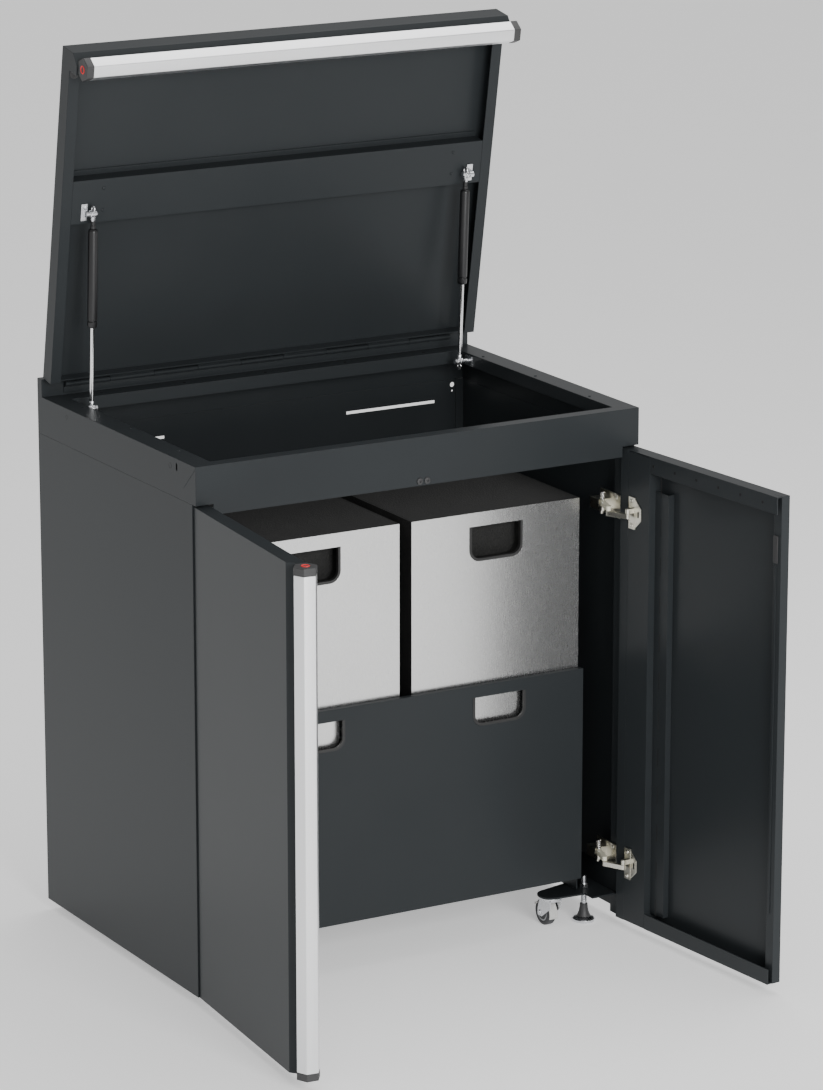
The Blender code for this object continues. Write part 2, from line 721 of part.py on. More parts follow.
def make_hinge(side, label, middle, door, looks):
    where = f"{label}_{side_name(side)}"
    radius = HINGE_LINK_RADIUS
    half = HINGE_BODY_HEIGHT / 2
    slit = TOUCH_GAP
    base = Vector((side * (HALF - HINGE_BASE_INSET), FRONT + HINGE_BASE_SETBACK))
    knuckle_depth = DOOR_THICKNESS + HINGE_KNUCKLE_HEIGHT
    knuckle_local = on_door(side, HINGE_PLATE_PLACE, knuckle_depth)
    knuckle = turned_open(side, knuckle_local)
    elbow = elbow_of(side, base, knuckle)

    wall = side * (POST_INNER - TOUCH_GAP)
    plate = box(
        f"hinge_base_{where}",
        (wall, POST_FRONT + 0.004, middle - half - 0.012),
        (wall - side * 0.003, POST_FRONT + 0.004 + HINGE_BASE_LENGTH, middle + half + 0.012),
        looks["nickel"],
    )
    block_start = base.y + radius + 0.0015
    block = box(
        f"hinge_block_{where}",
        (wall - side * 0.002, block_start, middle - half),
        (base.x - side * radius, block_start + 0.030, middle + half),
        None,
    )
    ear = box(
        f"hinge_ear_{where}",
        (base.x - side * radius, base.y, middle - half + 0.0005),
        (base.x + side * radius, block_start + 0.001, middle - slit),
        None,
    )
    ear_round = drum(
        f"hinge_ear_round_{where}", base, radius, "Z", middle - half + 0.0005, middle - slit, None
    )
    low = middle - half + 0.002
    pin = drum(f"hinge_pin_{where}", base, HINGE_PIN_RADIUS, "Z", low, middle + half, None, None, 16)
    screw = drum(
        f"hinge_screw_{where}",
        (base.x + side * 0.009, block_start + 0.012),
        0.0035,
        "Z",
        middle - half - 0.010,
        middle + half + 0.010,
        None,
        None,
        16,
    )
    join(plate, block, ear, ear_round, pin, screw)

    arm_axis = axis_empty(f"axis_hinge_arm_{where}", (base.x, base.y, middle))
    to_elbow = elbow - base
    outline = link_outline((0, 0), to_elbow, radius)
    arm = prism(f"hinge_arm_{where}", outline, "Z", slit, half - 0.001, looks["cream"], arm_axis)
    elbow_pin = drum(
        f"elbow_pin_{where}", to_elbow, HINGE_PIN_RADIUS, "Z", -half + 0.001, 0.001, None, arm_axis, 16
    )
    bore_radius = HINGE_PIN_RADIUS + RUNNING_CLEARANCE
    arm_bore = drum(f"arm_bore_{where}", (0, 0), bore_radius, "Z", -0.02, 0.02, None, arm_axis, 16)
    join(arm, elbow_pin)
    cut(arm, arm_bore)

    link_axis = axis_empty(f"axis_hinge_link_{where}", (to_elbow.x, to_elbow.y, 0), arm_axis)
    outline = link_outline((0, 0), knuckle - elbow, radius)
    link = prism(f"hinge_link_{where}", outline, "Z", -half + 0.001, -slit, looks["nickel"], link_axis)
    link_bore = drum(f"link_bore_{where}", (0, 0), bore_radius, "Z", -0.02, 0.02, None, link_axis, 16)
    cut(link, link_bore)

    face = DOOR_THICKNESS + TOUCH_GAP
    low = middle - HINGE_PLATE_HEIGHT / 2
    high = middle + HINGE_PLATE_HEIGHT / 2
    place = HINGE_PLATE_PLACE
    span = (place - HINGE_PLATE_WIDTH / 2, place + HINGE_PLATE_WIDTH / 2)
    top_face = face + HINGE_PLATE_THICKNESS
    depth = (face, top_face)
    cup = door_box(f"hinge_plate_{where}", span, depth, (low, high), side, looks["nickel"], door)
    neck = door_box(
        f"hinge_neck_{where}",
        (place - radius, place + radius),
        (top_face - 0.001, knuckle_depth),
        (middle + slit, middle + half - 0.001),
        side,
        None,
        door,
    )
    low = middle + slit
    high = middle + half - 0.001
    neck_round = drum(f"hinge_neck_round_{where}", knuckle_local, radius, "Z", low, high, None, door)
    join(cup, neck, neck_round)


# ---- lid ----
def on_lid(back, depth):
    """Lid frame (y, z), from the distance from the lid's rear edge and the depth from its top."""
    return (-(back + LID_AXIS_BACK), LID_AXIS_DROP - depth)


def lid_prism(name, outline, low, high, look, parent):
    return prism(name, [on_lid(*point) for point in outline], "X", low, high, look, parent)


def lid_box(name, across, back, depth, look, parent):
    outline = [(back[0], depth[0]), (back[1], depth[0]), (back[1], depth[1]), (back[0], depth[1])]
    return lid_prism(name, outline, across[0], across[1], look, parent)


def make_lid(parent, looks):
    side_depth = LID_SIDE_DEPTH - LID_REST_GAP
    nose_inner = LID_LENGTH - LID_NOSE_WIDTH
    nose_bottom = LID_NOSE_DEPTH + NOSE_CHAMFER
    path = [
        (0, LID_REAR_LIP),
        (0, 0),
        (LID_LENGTH, 0),
        (LID_LENGTH, LID_NOSE_DEPTH),
        (LID_LENGTH - NOSE_CHAMFER, nose_bottom),
        (nose_inner, nose_bottom),
        (nose_inner, side_depth),
    ]
    skin = lid_prism("lid_skin", folded(path, SHEET), -LID_HALF, LID_HALF, looks["coat"], parent)
    end_outline = [
        (0, 0),
        (LID_LENGTH, 0),
        (LID_LENGTH, LID_NOSE_DEPTH),
        (LID_LENGTH - NOSE_CHAMFER, nose_bottom),
        (nose_inner, nose_bottom),
        (nose_inner, side_depth),
        (0, side_depth),
    ]
    parts = []
    for side in (-1, 1):
        label = side_name(side)
        outer = side * LID_HALF
        inner = side * (LID_HALF - SHEET)
        low, high = sorted((outer, inner))
        parts.append(lid_prism(f"lid_end_{label}", end_outline, low, high, None, parent))
        low, high = sorted((side * (LID_HALF - 0.0001), side * (LID_HALF - LID_RETURN)))
        back = (0.0001, nose_inner + SHEET / 2)
        depth = (side_depth - SHEET, side_depth - 0.0001)
        parts.append(lid_box(f"lid_return_{label}", (low, high), back, depth, None, parent))
    return join(skin, *parts)


def make_lid_brace(parent, looks):
    """A channel across the lid that the struts push on."""
    half = LID_HALF - LID_RETURN - TOUCH_GAP
    low = BRACE_CENTRE - BRACE_WIDTH / 2
    high = BRACE_CENTRE + BRACE_WIDTH / 2
    near = SHEET + TOUCH_GAP
    far = near + BRACE_DEPTH - SHEET
    path = [
        (low - BRACE_FLANGE, near),
        (low, near),
        (low, far),
        (high, far),
        (high, near),
        (high + BRACE_FLANGE, near),
    ]
    return lid_prism("lid_brace", folded(path, SHEET), -half, half, looks["coat"], parent)


def make_lid_bar(parent, looks):
    centre = on_lid(LID_BAR_U, LID_BAR_T)
    half = LID_HALF - LID_BAR_SHORTFALL / 2
    outer = circle(centre, BAR_RADIUS, 6)
    inner = circle(centre, BAR_RADIUS - BAR_WALL / math.cos(math.radians(30)), 6)
    bar = prism("lid_bar", outer, "X", -half, half, looks["aluminium"], parent)
    bore = prism("lid_bar_bore", inner, "X", -half - 0.01, half + 0.01, None, parent)
    return cut(bar, bore)


def make_lid_hinge(parent, looks):
    """A continuous hinge along the upstand: a fixed leaf with the pin, and the lid's leaf."""
    radius = LID_HINGE_RADIUS
    half = LID_HALF - LID_HINGE_INSET
    step = 2 * half / LID_HINGE_KNUCKLES
    axis = (LID_AXIS_Y, LID_AXIS_Z)
    face = REAR - UPSTAND_DEPTH - TOUCH_GAP
    fixed = box(
        "lid_hinge_fixed",
        (-half, face - 0.0015, LID_AXIS_Z - 0.017),
        (half, face, LID_AXIS_Z - radius - 0.001),
        looks["zinc"],
    )
    rear_wall = -LID_AXIS_BACK + TOUCH_GAP
    leaf_top = LID_AXIS_DROP - LID_REAR_LIP + 0.002
    moving = box(
        "lid_hinge_moving",
        (-half, rear_wall, leaf_top),
        (half, rear_wall + 0.0015, 0.0008),
        looks["zinc"],
        parent,
    )
    fixed_parts = [drum("lid_hinge_pin", axis, LID_HINGE_PIN, "X", -half, half, None, None, 12)]
    moving_parts = []
    for index in range(LID_HINGE_KNUCKLES):
        low = -half + index * step + TOUCH_GAP
        high = low + step - 2 * TOUCH_GAP
        if index % 2 == 0:
            name = f"fixed_knuckle_{index}"
            fixed_parts.append(drum(name, axis, radius, "X", low, high, None, None, 16))
            corner = (low, face - 0.0015, LID_AXIS_Z - radius - 0.002)
            other = (high, axis[0] + radius - 0.0015, LID_AXIS_Z)
            fixed_parts.append(box(f"fixed_web_{index}", corner, other, None))
        else:
            name = f"moving_knuckle_{index}"
            moving_parts.append(drum(name, (0, 0), radius, "X", low, high, None, parent, 16))
            corner = (low, rear_wall + 0.0005, -0.0008)
            other = (high, -radius + 0.001, 0.0008)
            moving_parts.append(box(f"moving_web_{index}", corner, other, None, parent))
    join(fixed, *fixed_parts)
    join(moving, *moving_parts)
    bore_radius = LID_HINGE_PIN + RUNNING_CLEARANCE
    bore = drum("lid_hinge_bore", (0, 0), bore_radius, "X", -half - 0.01, half + 0.01, None, parent, 12)
    cut(moving, bore)


# ---- gas struts ----
def strut_ends():
    """The foot's and the head's (y, z) in the cabinet, with the lid open."""
    foot = Vector((REAR - REAR_RIM_WIDTH - STRUT_FOOT_DISTANCE, RIM_HEIGHT - STRUT_FOOT_DROP))
    y, z = on_lid(STRUT_HEAD_PLACE, STRUT_HEAD_DEPTH)
    angle = -LID_OPEN
    turned_y = y * math.cos(angle) - z * math.sin(angle)
    turned_z = y * math.sin(angle) + z * math.cos(angle)
    return foot, Vector((LID_AXIS_Y + turned_y, LID_AXIS_Z + turned_z))


def make_strut(side, lid, looks):
    name = side_name(side)
    wall = HALF - SIDE_RIM_WIDTH
    x = side * (wall - STRUT_STUD)
    foot, head = strut_ends()
    span = head - foot
    tilt = math.atan2(-span.x, span.y)
    length = span.length
    eye = STRUT_EYE / 2
    clear = STRUT_PIN_RADIUS + RUNNING_CLEARANCE
    rod_axis = axis_empty(f"axis_strut_{name}", (x, foot.x, foot.y), None, (tilt, 0, 0))

    wall_face = side * (wall - TOUCH_GAP)
    plate = box(
        f"strut_foot_{name}",
        (wall_face, foot.x - 0.014, foot.y - 0.010),
        (wall_face - side * 0.002, foot.x + 0.014, foot.y + 0.009),
        looks["zinc"],
    )
    ends = sorted((wall_face - side * 0.001, x - side * (eye + 0.003)))
    stud = drum(f"strut_stud_{name}", foot, STRUT_PIN_RADIUS, "X", ends[0], ends[1], None, None, 16)
    ends = sorted((x - side * (eye + 0.0006), x - side * (eye + 0.004)))
    radius = STRUT_PIN_RADIUS + 0.002
    cap = drum(f"strut_stud_cap_{name}", foot, radius, "X", ends[0], ends[1], None, None, 16)
    join(plate, stud, cap)

    tube_top = length - STRUT_NECK
    tube_low = tube_top - STRUT_TUBE_LENGTH
    low = eye - 0.001
    high = tube_low + STRUT_ROD_INSIDE
    rod = drum(f"strut_rod_{name}", (0, 0), STRUT_ROD_RADIUS, "Z", low, high, looks["chrome"], rod_axis)
    socket = box(f"rod_eye_{name}", (-eye, -eye, -eye), (eye, eye, eye), None, rod_axis)
    socket_bore = drum(f"rod_eye_bore_{name}", (0, 0), clear, "X", -0.02, 0.02, None, rod_axis, 16)
    join(rod, socket)
    cut(rod, socket_bore)

    tube_axis = axis_empty(f"axis_strut_slide_{name}", (0, 0, 0), rod_axis)
    radius = STRUT_TUBE_RADIUS
    tube = drum(f"strut_tube_{name}", (0, 0), radius, "Z", tube_low, tube_top, looks["black"], tube_axis)
    low = tube_top - 0.003
    high = length - eye + 0.001
    neck = drum(f"strut_neck_{name}", (0, 0), STRUT_ROD_RADIUS, "Z", low, high, None, tube_axis, 16)
    top_eye = box(
        f"tube_eye_{name}", (-eye, -eye, length - eye), (eye, eye, length + eye), None, tube_axis
    )
    bore = drum(
        f"strut_bore_{name}",
        (0, 0),
        STRUT_ROD_RADIUS + RUNNING_CLEARANCE,
        "Z",
        tube_low - 0.01,
        tube_low + STRUT_BORE_DEPTH,
        None,
        tube_axis,
    )
    cut(tube, bore)
    join(tube, neck, top_eye)

    y, z = on_lid(STRUT_HEAD_PLACE, STRUT_HEAD_DEPTH)
    face = on_lid(0, SHEET + TOUCH_GAP + BRACE_DEPTH + TOUCH_GAP)[1]
    beside = x + side * (eye + 0.001)
    clip = box(
        f"strut_clip_{name}",
        (beside, y - 0.016, face),
        (beside + side * STRUT_CLIP_WIDTH, y + 0.016, face - SHEET),
        looks["zinc"],
        lid,
    )
    ends = sorted((beside, beside + side * STRUT_BALL_LENGTH))
    post = box(
        f"clip_post_{name}", (ends[0], y - 0.006, face - 0.001), (ends[1], y + 0.006, z), None, lid
    )
    ball = drum(f"clip_ball_{name}", (y, z), STRUT_BALL_RADIUS, "X", ends[0], ends[1], None, lid, 16)
    join(clip, post, ball)


# ---- carrier and bins ----
def make_carrier(looks):
    """The pull-out front panel, and the tray that the bins stand in, with its slide bars."""
    axis = axis_empty("axis_carrier", (0, 0, 0))
    front = FRONT + CARRIER_FRONT_SETBACK
    half = CARRIER_HALF
    depth = CARRIER_RETURN
    path = [(-half, front + depth), (-half, front), (half, front), (half, front + depth)]
    low = CARRIER_FRONT_BOTTOM
    high = CARRIER_FRONT_TOP
    panel = prism("carrier_front", folded(path, SHEET), "Z", low, high, looks["coat"], axis)
    lips = []
    levels = (("top", high - SHEET, high - 0.0001), ("bottom", low + 0.0001, low + SHEET))
    for label, start, end in levels:
        corner = (-half + 0.0001, front + 0.0001, start)
        other = (half - 0.0001, front + depth - 0.0001, end)
        lips.append(box(f"carrier_lip_{label}", corner, other, None, axis))
    join(panel, *lips)
    middle = (BIN_INNER + BIN_OUTER) / 2
    top = CARRIER_FRONT_TOP - PANEL_HANDLE_DROP
    for side in (-1, 1):
        outline = handle_outline(side * middle, top, HANDLE_WIDTH, PANEL_HANDLE_HEIGHT, HANDLE_RADIUS)
        opening = prism(f"panel_handle_{side}", outline, "Y", front - 0.01, front + 0.006, None, axis)
        cut(panel, opening)

    rear = BIN_FRONT + BIN_DEPTH + BIN_SIDE_GAP
    tray_front = front + depth + TOUCH_GAP
    floor = box(
        "carrier_tray",
        (-half + 0.0005, tray_front, CARRIER_FLOOR),
        (half - 0.0005, rear + SHEET, CARRIER_FLOOR + SHEET),
        looks["coat"],
        axis,
    )
    parts = []
    parts.append(
        box(
            "tray_rear_rim",
            (-half + 0.0006, rear, CARRIER_FLOOR + 0.0001),
            (half - 0.0006, rear + SHEET - 0.0001, CARRIER_FLOOR + CARRIER_RIM),
            None,
            axis,
        )
    )
    slide_low = BASE_PLATE_HEIGHT + BASE_PLATE_THICKNESS + 0.003
    slide_high = slide_low + RUNNER_HEIGHT - SHEET - 0.006
    start = FRONT + RUNNER_SETBACK + 0.005
    for side in (-1, 1):
        outer = half - 0.0006
        parts.append(
            box(
                f"tray_side_rim_{side}",
                (side * outer, tray_front + 0.0001, slide_low + 0.001),
                (side * (outer - SHEET), rear + SHEET - 0.0002, CARRIER_FLOOR + CARRIER_RIM),
                None,
                axis,
            )
        )
        parts.append(
            box(
                f"tray_slide_{side}",
                (side * (outer - 0.001), start, slide_low),
                (side * (CARRIER_HALF + RUNNER_WIDTH - 0.001), start + RUNNER_LENGTH - 0.01, slide_high),
                None,
                axis,
            )
        )
    join(floor, *parts)
    return axis


def make_bin(side, carrier, looks):
    name = side_name(side)
    inner = side * BIN_INNER
    outer = side * BIN_OUTER
    axis = axis_empty(f"axis_bin_{name}", ((inner + outer) / 2, BIN_FRONT, BIN_BOTTOM), carrier)
    half = (BIN_OUTER - BIN_INNER) / 2
    height = BIN_TOP - BIN_BOTTOM
    face = BIN_FACE + TOUCH_GAP
    wall = BIN_WALL
    body = box(f"bin_body_{name}", (-half, face, 0), (half, BIN_DEPTH, height), looks["grained"], axis)
    cavity = box(
        f"bin_cavity_{name}",
        (-half + wall, face + wall, wall),
        (half - wall, BIN_DEPTH - wall, height + 0.01),
        None,
        axis,
    )
    top = height - HANDLE_DROP
    outline = handle_outline(0, top, HANDLE_WIDTH, HANDLE_HEIGHT, HANDLE_RADIUS)
    opening = prism(f"bin_handle_{name}", outline, "Y", -0.01, face + wall + 0.01, None, axis)
    cut(body, cavity, opening)

    plate = box(f"bin_face_{name}", (-half, 0, 0), (half, BIN_FACE, height), looks["steel"], axis)
    opening = prism(f"face_handle_{name}", outline, "Y", -0.01, 0.01, None, axis)
    cut(plate, opening)

    lid_axis = axis_empty(f"axis_bin_lid_{name}", (0, 0, height), axis)
    gap = wall + BIN_LID_CLEARANCE
    bin_lid = box(
        f"bin_lid_{name}",
        (-half + gap, face + gap, -BIN_LID_DEPTH),
        (half - gap, BIN_DEPTH - gap, 0),
        looks["grained"],
        lid_axis,
    )
    relief = box(
        f"bin_lid_relief_{name}",
        (-half + gap + 0.004, face + gap + 0.004, -BIN_LID_DEPTH - 0.01),
        (half - gap - 0.004, BIN_DEPTH - gap - 0.004, -BIN_LID_DEPTH / 2),
        None,
        lid_axis,
    )
    cut(bin_lid, relief)
    return body, plate, bin_lid


def main():
    for old in list(bpy.data.objects):
        bpy.data.objects.remove(old)
    looks = {
        "coat": material("powder_coat", (0.062, 0.074, 0.080), 0.42, 0.0),
        "dark": material("dark_coat", (0.030, 0.036, 0.040), 0.50, 0.0),
        "aluminium": material("anodised_aluminium", (0.86, 0.87, 0.88), 0.30, 1.0),
        "steel": material("brushed_steel", (0.62, 0.62, 0.61), 0.32, 1.0),
        "grained": material("grained_black", (0.020, 0.020, 0.020), 0.75, 0.0),
        "nickel": material("nickel_plate", (0.78, 0.76, 0.68), 0.30, 1.0),
        "cream": material("cream_enamel", (0.88, 0.87, 0.72), 0.35, 0.0),
        "zinc": material("zinc_plate", (0.74, 0.75, 0.77), 0.33, 1.0),
        "chrome": material("hard_chrome", (0.82, 0.82, 0.83), 0.15, 1.0),
        "black": material("black_enamel", (0.015, 0.015, 0.016), 0.35, 0.0),
        "tyre": material("caster_tyre", (0.060, 0.062, 0.066), 0.55, 0.0),
    }
    make_back_panel(looks)
    make_top_frame(looks)
    lid = axis_empty("axis_lid", (0, LID_AXIS_Y, LID_AXIS_Z), None, (-LID_OPEN, 0, 0))
    make_lid(lid, looks)
    make_lid_brace(lid, looks)
    make_lid_bar(lid, looks)
    make_lid_hinge(lid, looks)
    carrier = make_carrier(looks)
    for side in (-1, 1):
        make_side_panel(side, looks)
        make_base_rail(side, looks)
        for end in (-1, 1):
            make_levelling_foot(side, end, looks)
            make_caster(side, end, looks)
        door = door_axis(side)
        make_door(side, door, looks)
        if side < 0:
            make_door_bar(door, looks)
        make_hinge(side, "lower", DOOR_BOTTOM + HINGE_END_DISTANCE, door, looks)
        make_hinge(side, "upper", DOOR_TOP - HINGE_END_DISTANCE, door, looks)
        make_strut(side, lid, looks)
        make_bin(side, carrier, looks)


main()
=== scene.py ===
"""Rolling tool chest: finishes, small fittings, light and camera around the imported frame.

Units are metres. +Z is up and the doors face -Y. Pieces of the lid and the doors are placed where
they are when the chest is shut, and then turned open.
"""

import json
import math

import bmesh
import bpy
from mathutils import Matrix, Vector


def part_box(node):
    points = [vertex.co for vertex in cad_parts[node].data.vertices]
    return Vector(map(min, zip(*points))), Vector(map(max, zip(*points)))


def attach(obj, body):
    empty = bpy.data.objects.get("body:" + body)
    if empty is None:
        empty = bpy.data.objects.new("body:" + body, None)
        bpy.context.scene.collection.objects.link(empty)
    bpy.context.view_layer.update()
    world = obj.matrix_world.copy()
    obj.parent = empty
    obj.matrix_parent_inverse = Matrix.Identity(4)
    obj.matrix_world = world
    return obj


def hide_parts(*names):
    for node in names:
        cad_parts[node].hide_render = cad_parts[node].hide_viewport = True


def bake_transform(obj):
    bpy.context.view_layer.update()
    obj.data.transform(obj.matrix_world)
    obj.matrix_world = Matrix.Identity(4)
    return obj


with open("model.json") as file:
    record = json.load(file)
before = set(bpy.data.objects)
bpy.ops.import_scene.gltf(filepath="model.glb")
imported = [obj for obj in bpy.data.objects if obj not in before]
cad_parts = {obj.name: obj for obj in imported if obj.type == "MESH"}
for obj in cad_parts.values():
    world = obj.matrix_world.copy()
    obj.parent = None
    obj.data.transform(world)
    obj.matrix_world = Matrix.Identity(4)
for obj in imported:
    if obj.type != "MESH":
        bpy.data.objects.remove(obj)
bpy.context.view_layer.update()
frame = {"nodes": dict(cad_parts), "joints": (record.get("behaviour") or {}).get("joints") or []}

NODES = frame["nodes"]
JOINTS = {joint["name"]: joint for joint in frame["joints"]}
SIDES = {"left": -1, "right": 1}
ENDS = ("front", "rear")

QUARTER = math.pi / 2
SCREW_RADIUS = 0.0042

# ---- sizes: hexagonal bars ----
CORNER_RADIUS = 0.0022
BAR_CAP_LENGTH = 0.014
BAR_CAP_LIP = 0.0006
RED_INSERT_RADIUS = 0.0075

# ---- sizes: door buffers, holes and rivets of the top frame ----
BUFFER_PLACES = {"left": -0.0065, "right": 0.0085}
BUFFER_RADIUS = 0.0062
BUFFER_LENGTH = 0.001
BUFFER_ROUND = 0.0014
BUFFER_DROP = 0.0804
# Each hole is an end, how far back, how far down, and a radius.
SIDE_HOLES = (("rear", 0.506, 0.016, 0.0036), ("front", 0.0956, 0.017, 0.0046))
SLOT_RADIUS = 0.0024
SLOT_HALF = 0.0045
SLOT_BACK = 0.071
SLOT_DROP = 0.0145
SEAM_BEAD = 0.0006
SEAM_MITRE = ((0.003, 0.006), (0.024, 0.0255), (0.045, 0.045))
RIM_RIVET_RADIUS = 0.0030
RIM_RIVET_BACKS = (0.12, 0.31, 0.50)
RIM_RIVET_FROM_SIDE = 0.030
REAR_HOLE_RADIUS = 0.0026
REAR_HOLE_PITCH = 0.17
REAR_HOLE_COUNT = 5
REAR_HOLE_FROM_BACK = 0.040

# ---- sizes: door hinges ----
# How far back and how far up from the middle of the base.
BASE_SCREW_PLACES = ((0.012, 0.015), (0.056, -0.015), (0.056, 0.015))
BASE_SCREW_RADIUS = 0.0034
BASE_WALL = 0.003
PIN_HEAD_DROP = 0.0115
SPRING_WIRE = 0.0007
SPRING_RADIUS = 0.0042
SPRING_HEIGHT = 0.011
SPRING_TURNS = 4.8
SPRING_PLACE = (0.011, 0.040, 0.0102)
HINGE_PLATE_THICKNESS = 0.0025
PLATE_SCREW_SPACING = 0.046
PLATE_SCREW_RADIUS = 0.0040
WING_REACH = 0.017
WING_HALF = 0.027
WING_TIP_HALF = 0.011
WING_THICKNESS = 0.0016
WING_SLOT_RADIUS = 0.0020
WING_SLOT_HALF = 0.004
WING_SLOT_REACH = 0.55

# ---- sizes: doors ----
RAIL_HOLE_RADIUS = 0.0028
RAIL_HOLE_COUNT = 6
RAIL_HOLE_PITCH = 0.062
RAIL_HOLE_START = 0.040
RAIL_HOLE_DROP = 0.016
SEAM_SLOT_SIZE = (0.0022, 0.034)
SEAM_SLOT_COUNT = 12
SEAM_SLOT_MARGIN = 0.050
SEAM_SLOT_INSET = 0.004
KEEPER_SIZE = (0.012, 0.050)
KEEPER_HEIGHT = 0.820
KEEPER_FROM_EDGE = 0.0135
KEEPER_SETBACK = 0.0108
EDGE_STRIP_SIZE = (0.006, 0.640)
EDGE_STRIP_HEIGHT = 0.470

# ---- sizes: lid ----
PLUG_RADIUS = 0.009
PLUG_BACK = 0.043
PLUG_FROM_EDGE = 0.0105
BRACE_RIVET_FROM_END = 0.062
BRACE_RIVET_BACKS = (0.028, 0.070)

# ---- sizes: gas struts ----
HEAD_FROM_END = 0.0065
TUBE_TOP_DROP = 0.028
SHOULDER_RADIUS = 0.005
ROD_RADIUS = 0.0040
ROD_START = 0.012
ROD_OVERLAP = 0.030
SOCKET_RADIUS = 0.0068
EYELET_RADIUS = 0.0060
EYELET_WIRE = 0.0017
EYELET_REACH = 0.0085
CLIP_RADIUS = 0.0078
CLIP_WIRE = 0.0006

# ---- sizes: casters ----
TYRE_ROUND = 0.0045
TYRE_INNER = 0.66
AXLE_NUT_RADIUS = 0.0052
AXLE_NUT_HEIGHT = 0.0026
AXLE_NUT_GAP = 0.0035
COVER_GAP = 0.0018
COVER_THICKNESS = 0.0018
COVER_SPAN = (96, 196)
COVER_SIDE_GAP = 0.0006
PEDAL_TILT = -28
PEDAL_THICKNESS = 0.0032

# ---- sizes: levelling feet ----
NUT_RADIUS = 0.0088
NUT_HEIGHT = 0.0080
CORNER_PLATE_LOW = 0.062
THREAD_RADIUS = 0.0050
THREAD_WIRE = 0.0005
THREAD_LOW = 0.0355
THREAD_HEIGHT = 0.016
THREAD_TURNS = 11

# ---- sizes: bins, carrier and slides ----
HANDLE_WIDTH = 0.112
HANDLE_RADIUS = 0.022
BAND_WIDTH = 0.005
BAND_PROUD = 0.0006
CUP_FRONT = 0.0070
CUP_DEPTH = 0.030
CUP_WALL = 0.0015
BIN_HANDLE_HEIGHT = 0.065
BIN_HANDLE_DROP = 0.026
CARRIER_HANDLE_HEIGHT = 0.055
CARRIER_HANDLE_DROP = 0.022
SLIDE_LENGTH = 0.400
SLIDE_SECTION = (0.0030, 0.0120)
SLIDE_HEIGHT = 0.0795
SLIDE_STEPS = 24

# ---- stage ----
FLOOR_SIZE = 40.0
FLOOR_DROP = 0.0002
LIGHT_TARGET = (0.0, 0.1, 0.7)
WORLD_STRENGTH = 0.52
# Each light is a name, its place, its width and height, and its power in watts.
SOFTBOXES = (
    ("overhead_softbox", (1.2, 0.6, 4.2), (3.0, 2.6), 60),
    ("front_softbox", (-0.6, -6.0, 2.5), (2.6, 2.8), 300),
    ("left_softbox", (-4.2, -4.6, 3.0), (1.6, 2.6), 10),
)
CAMERA_PLACE = (-3.990, -6.9093, 2.9247)
CAMERA_TILT = 90 - 14.96
CAMERA_TURN = -29.86
CAMERA_LENS = 204.2
SENSOR_WIDTH = 36.0


# ---- places ----
def open_turn(joint_name):
    """What takes a point of the shut lid or door to where it stands at rest."""
    joint = JOINTS[joint_name]
    place = Vector(joint["pos_m"])
    angle = -math.radians(joint["range_deg"][0])
    turn = Matrix.Rotation(angle, 4, Vector(joint["axis"]))
    return Matrix.Translation(place) @ turn @ Matrix.Translation(-place)


STILL = Matrix.Identity(4)
LID_OPEN = open_turn("lid_hinge")
DOOR_OPEN = {side: open_turn(f"door_{side}_hinge") for side in SIDES}


def box_when_shut(node, opened=STILL):
    """Lowest and highest corner of a CAD node, with its lid or door shut."""
    back = opened.inverted()
    points = [back @ vertex.co for vertex in NODES[node].data.vertices]
    low = Vector([min(point[axis] for point in points) for axis in range(3)])
    high = Vector([max(point[axis] for point in points) for axis in range(3)])
    return low, high


FRAME_LOW, FRAME_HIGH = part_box("top_frame")
FRONT = FRAME_LOW.y
REAR = FRAME_HIGH.y
HALF = FRAME_HIGH.x
RIM = FRAME_HIGH.z - 0.033


def pointing(place, direction, turn=0.0):
    """A matrix at a place whose +Z runs along a direction."""
    spin = Vector(direction).to_track_quat("Z", "Y").to_matrix().to_4x4()
    return Matrix.Translation(place) @ spin @ Matrix.Rotation(turn, 4, "Z")


# ---- material tools ----
class Signal:
    """A value inside a material, with Python's operators on it."""

    def __init__(self, finish, socket):
        self.finish = finish
        self.socket = socket

    def maths(self, operation, *values):
        return self.finish.node("Math", {"operation": operation}, dict(enumerate(values)))

    def __add__(self, other):
        return self.maths("ADD", self, other)

    def __sub__(self, other):
        return self.maths("SUBTRACT", self, other)

    def __rsub__(self, other):
        return self.maths("SUBTRACT", other, self)

    def __mul__(self, other):
        return self.maths("MULTIPLY", self, other)

    __radd__ = __add__
    __rmul__ = __mul__


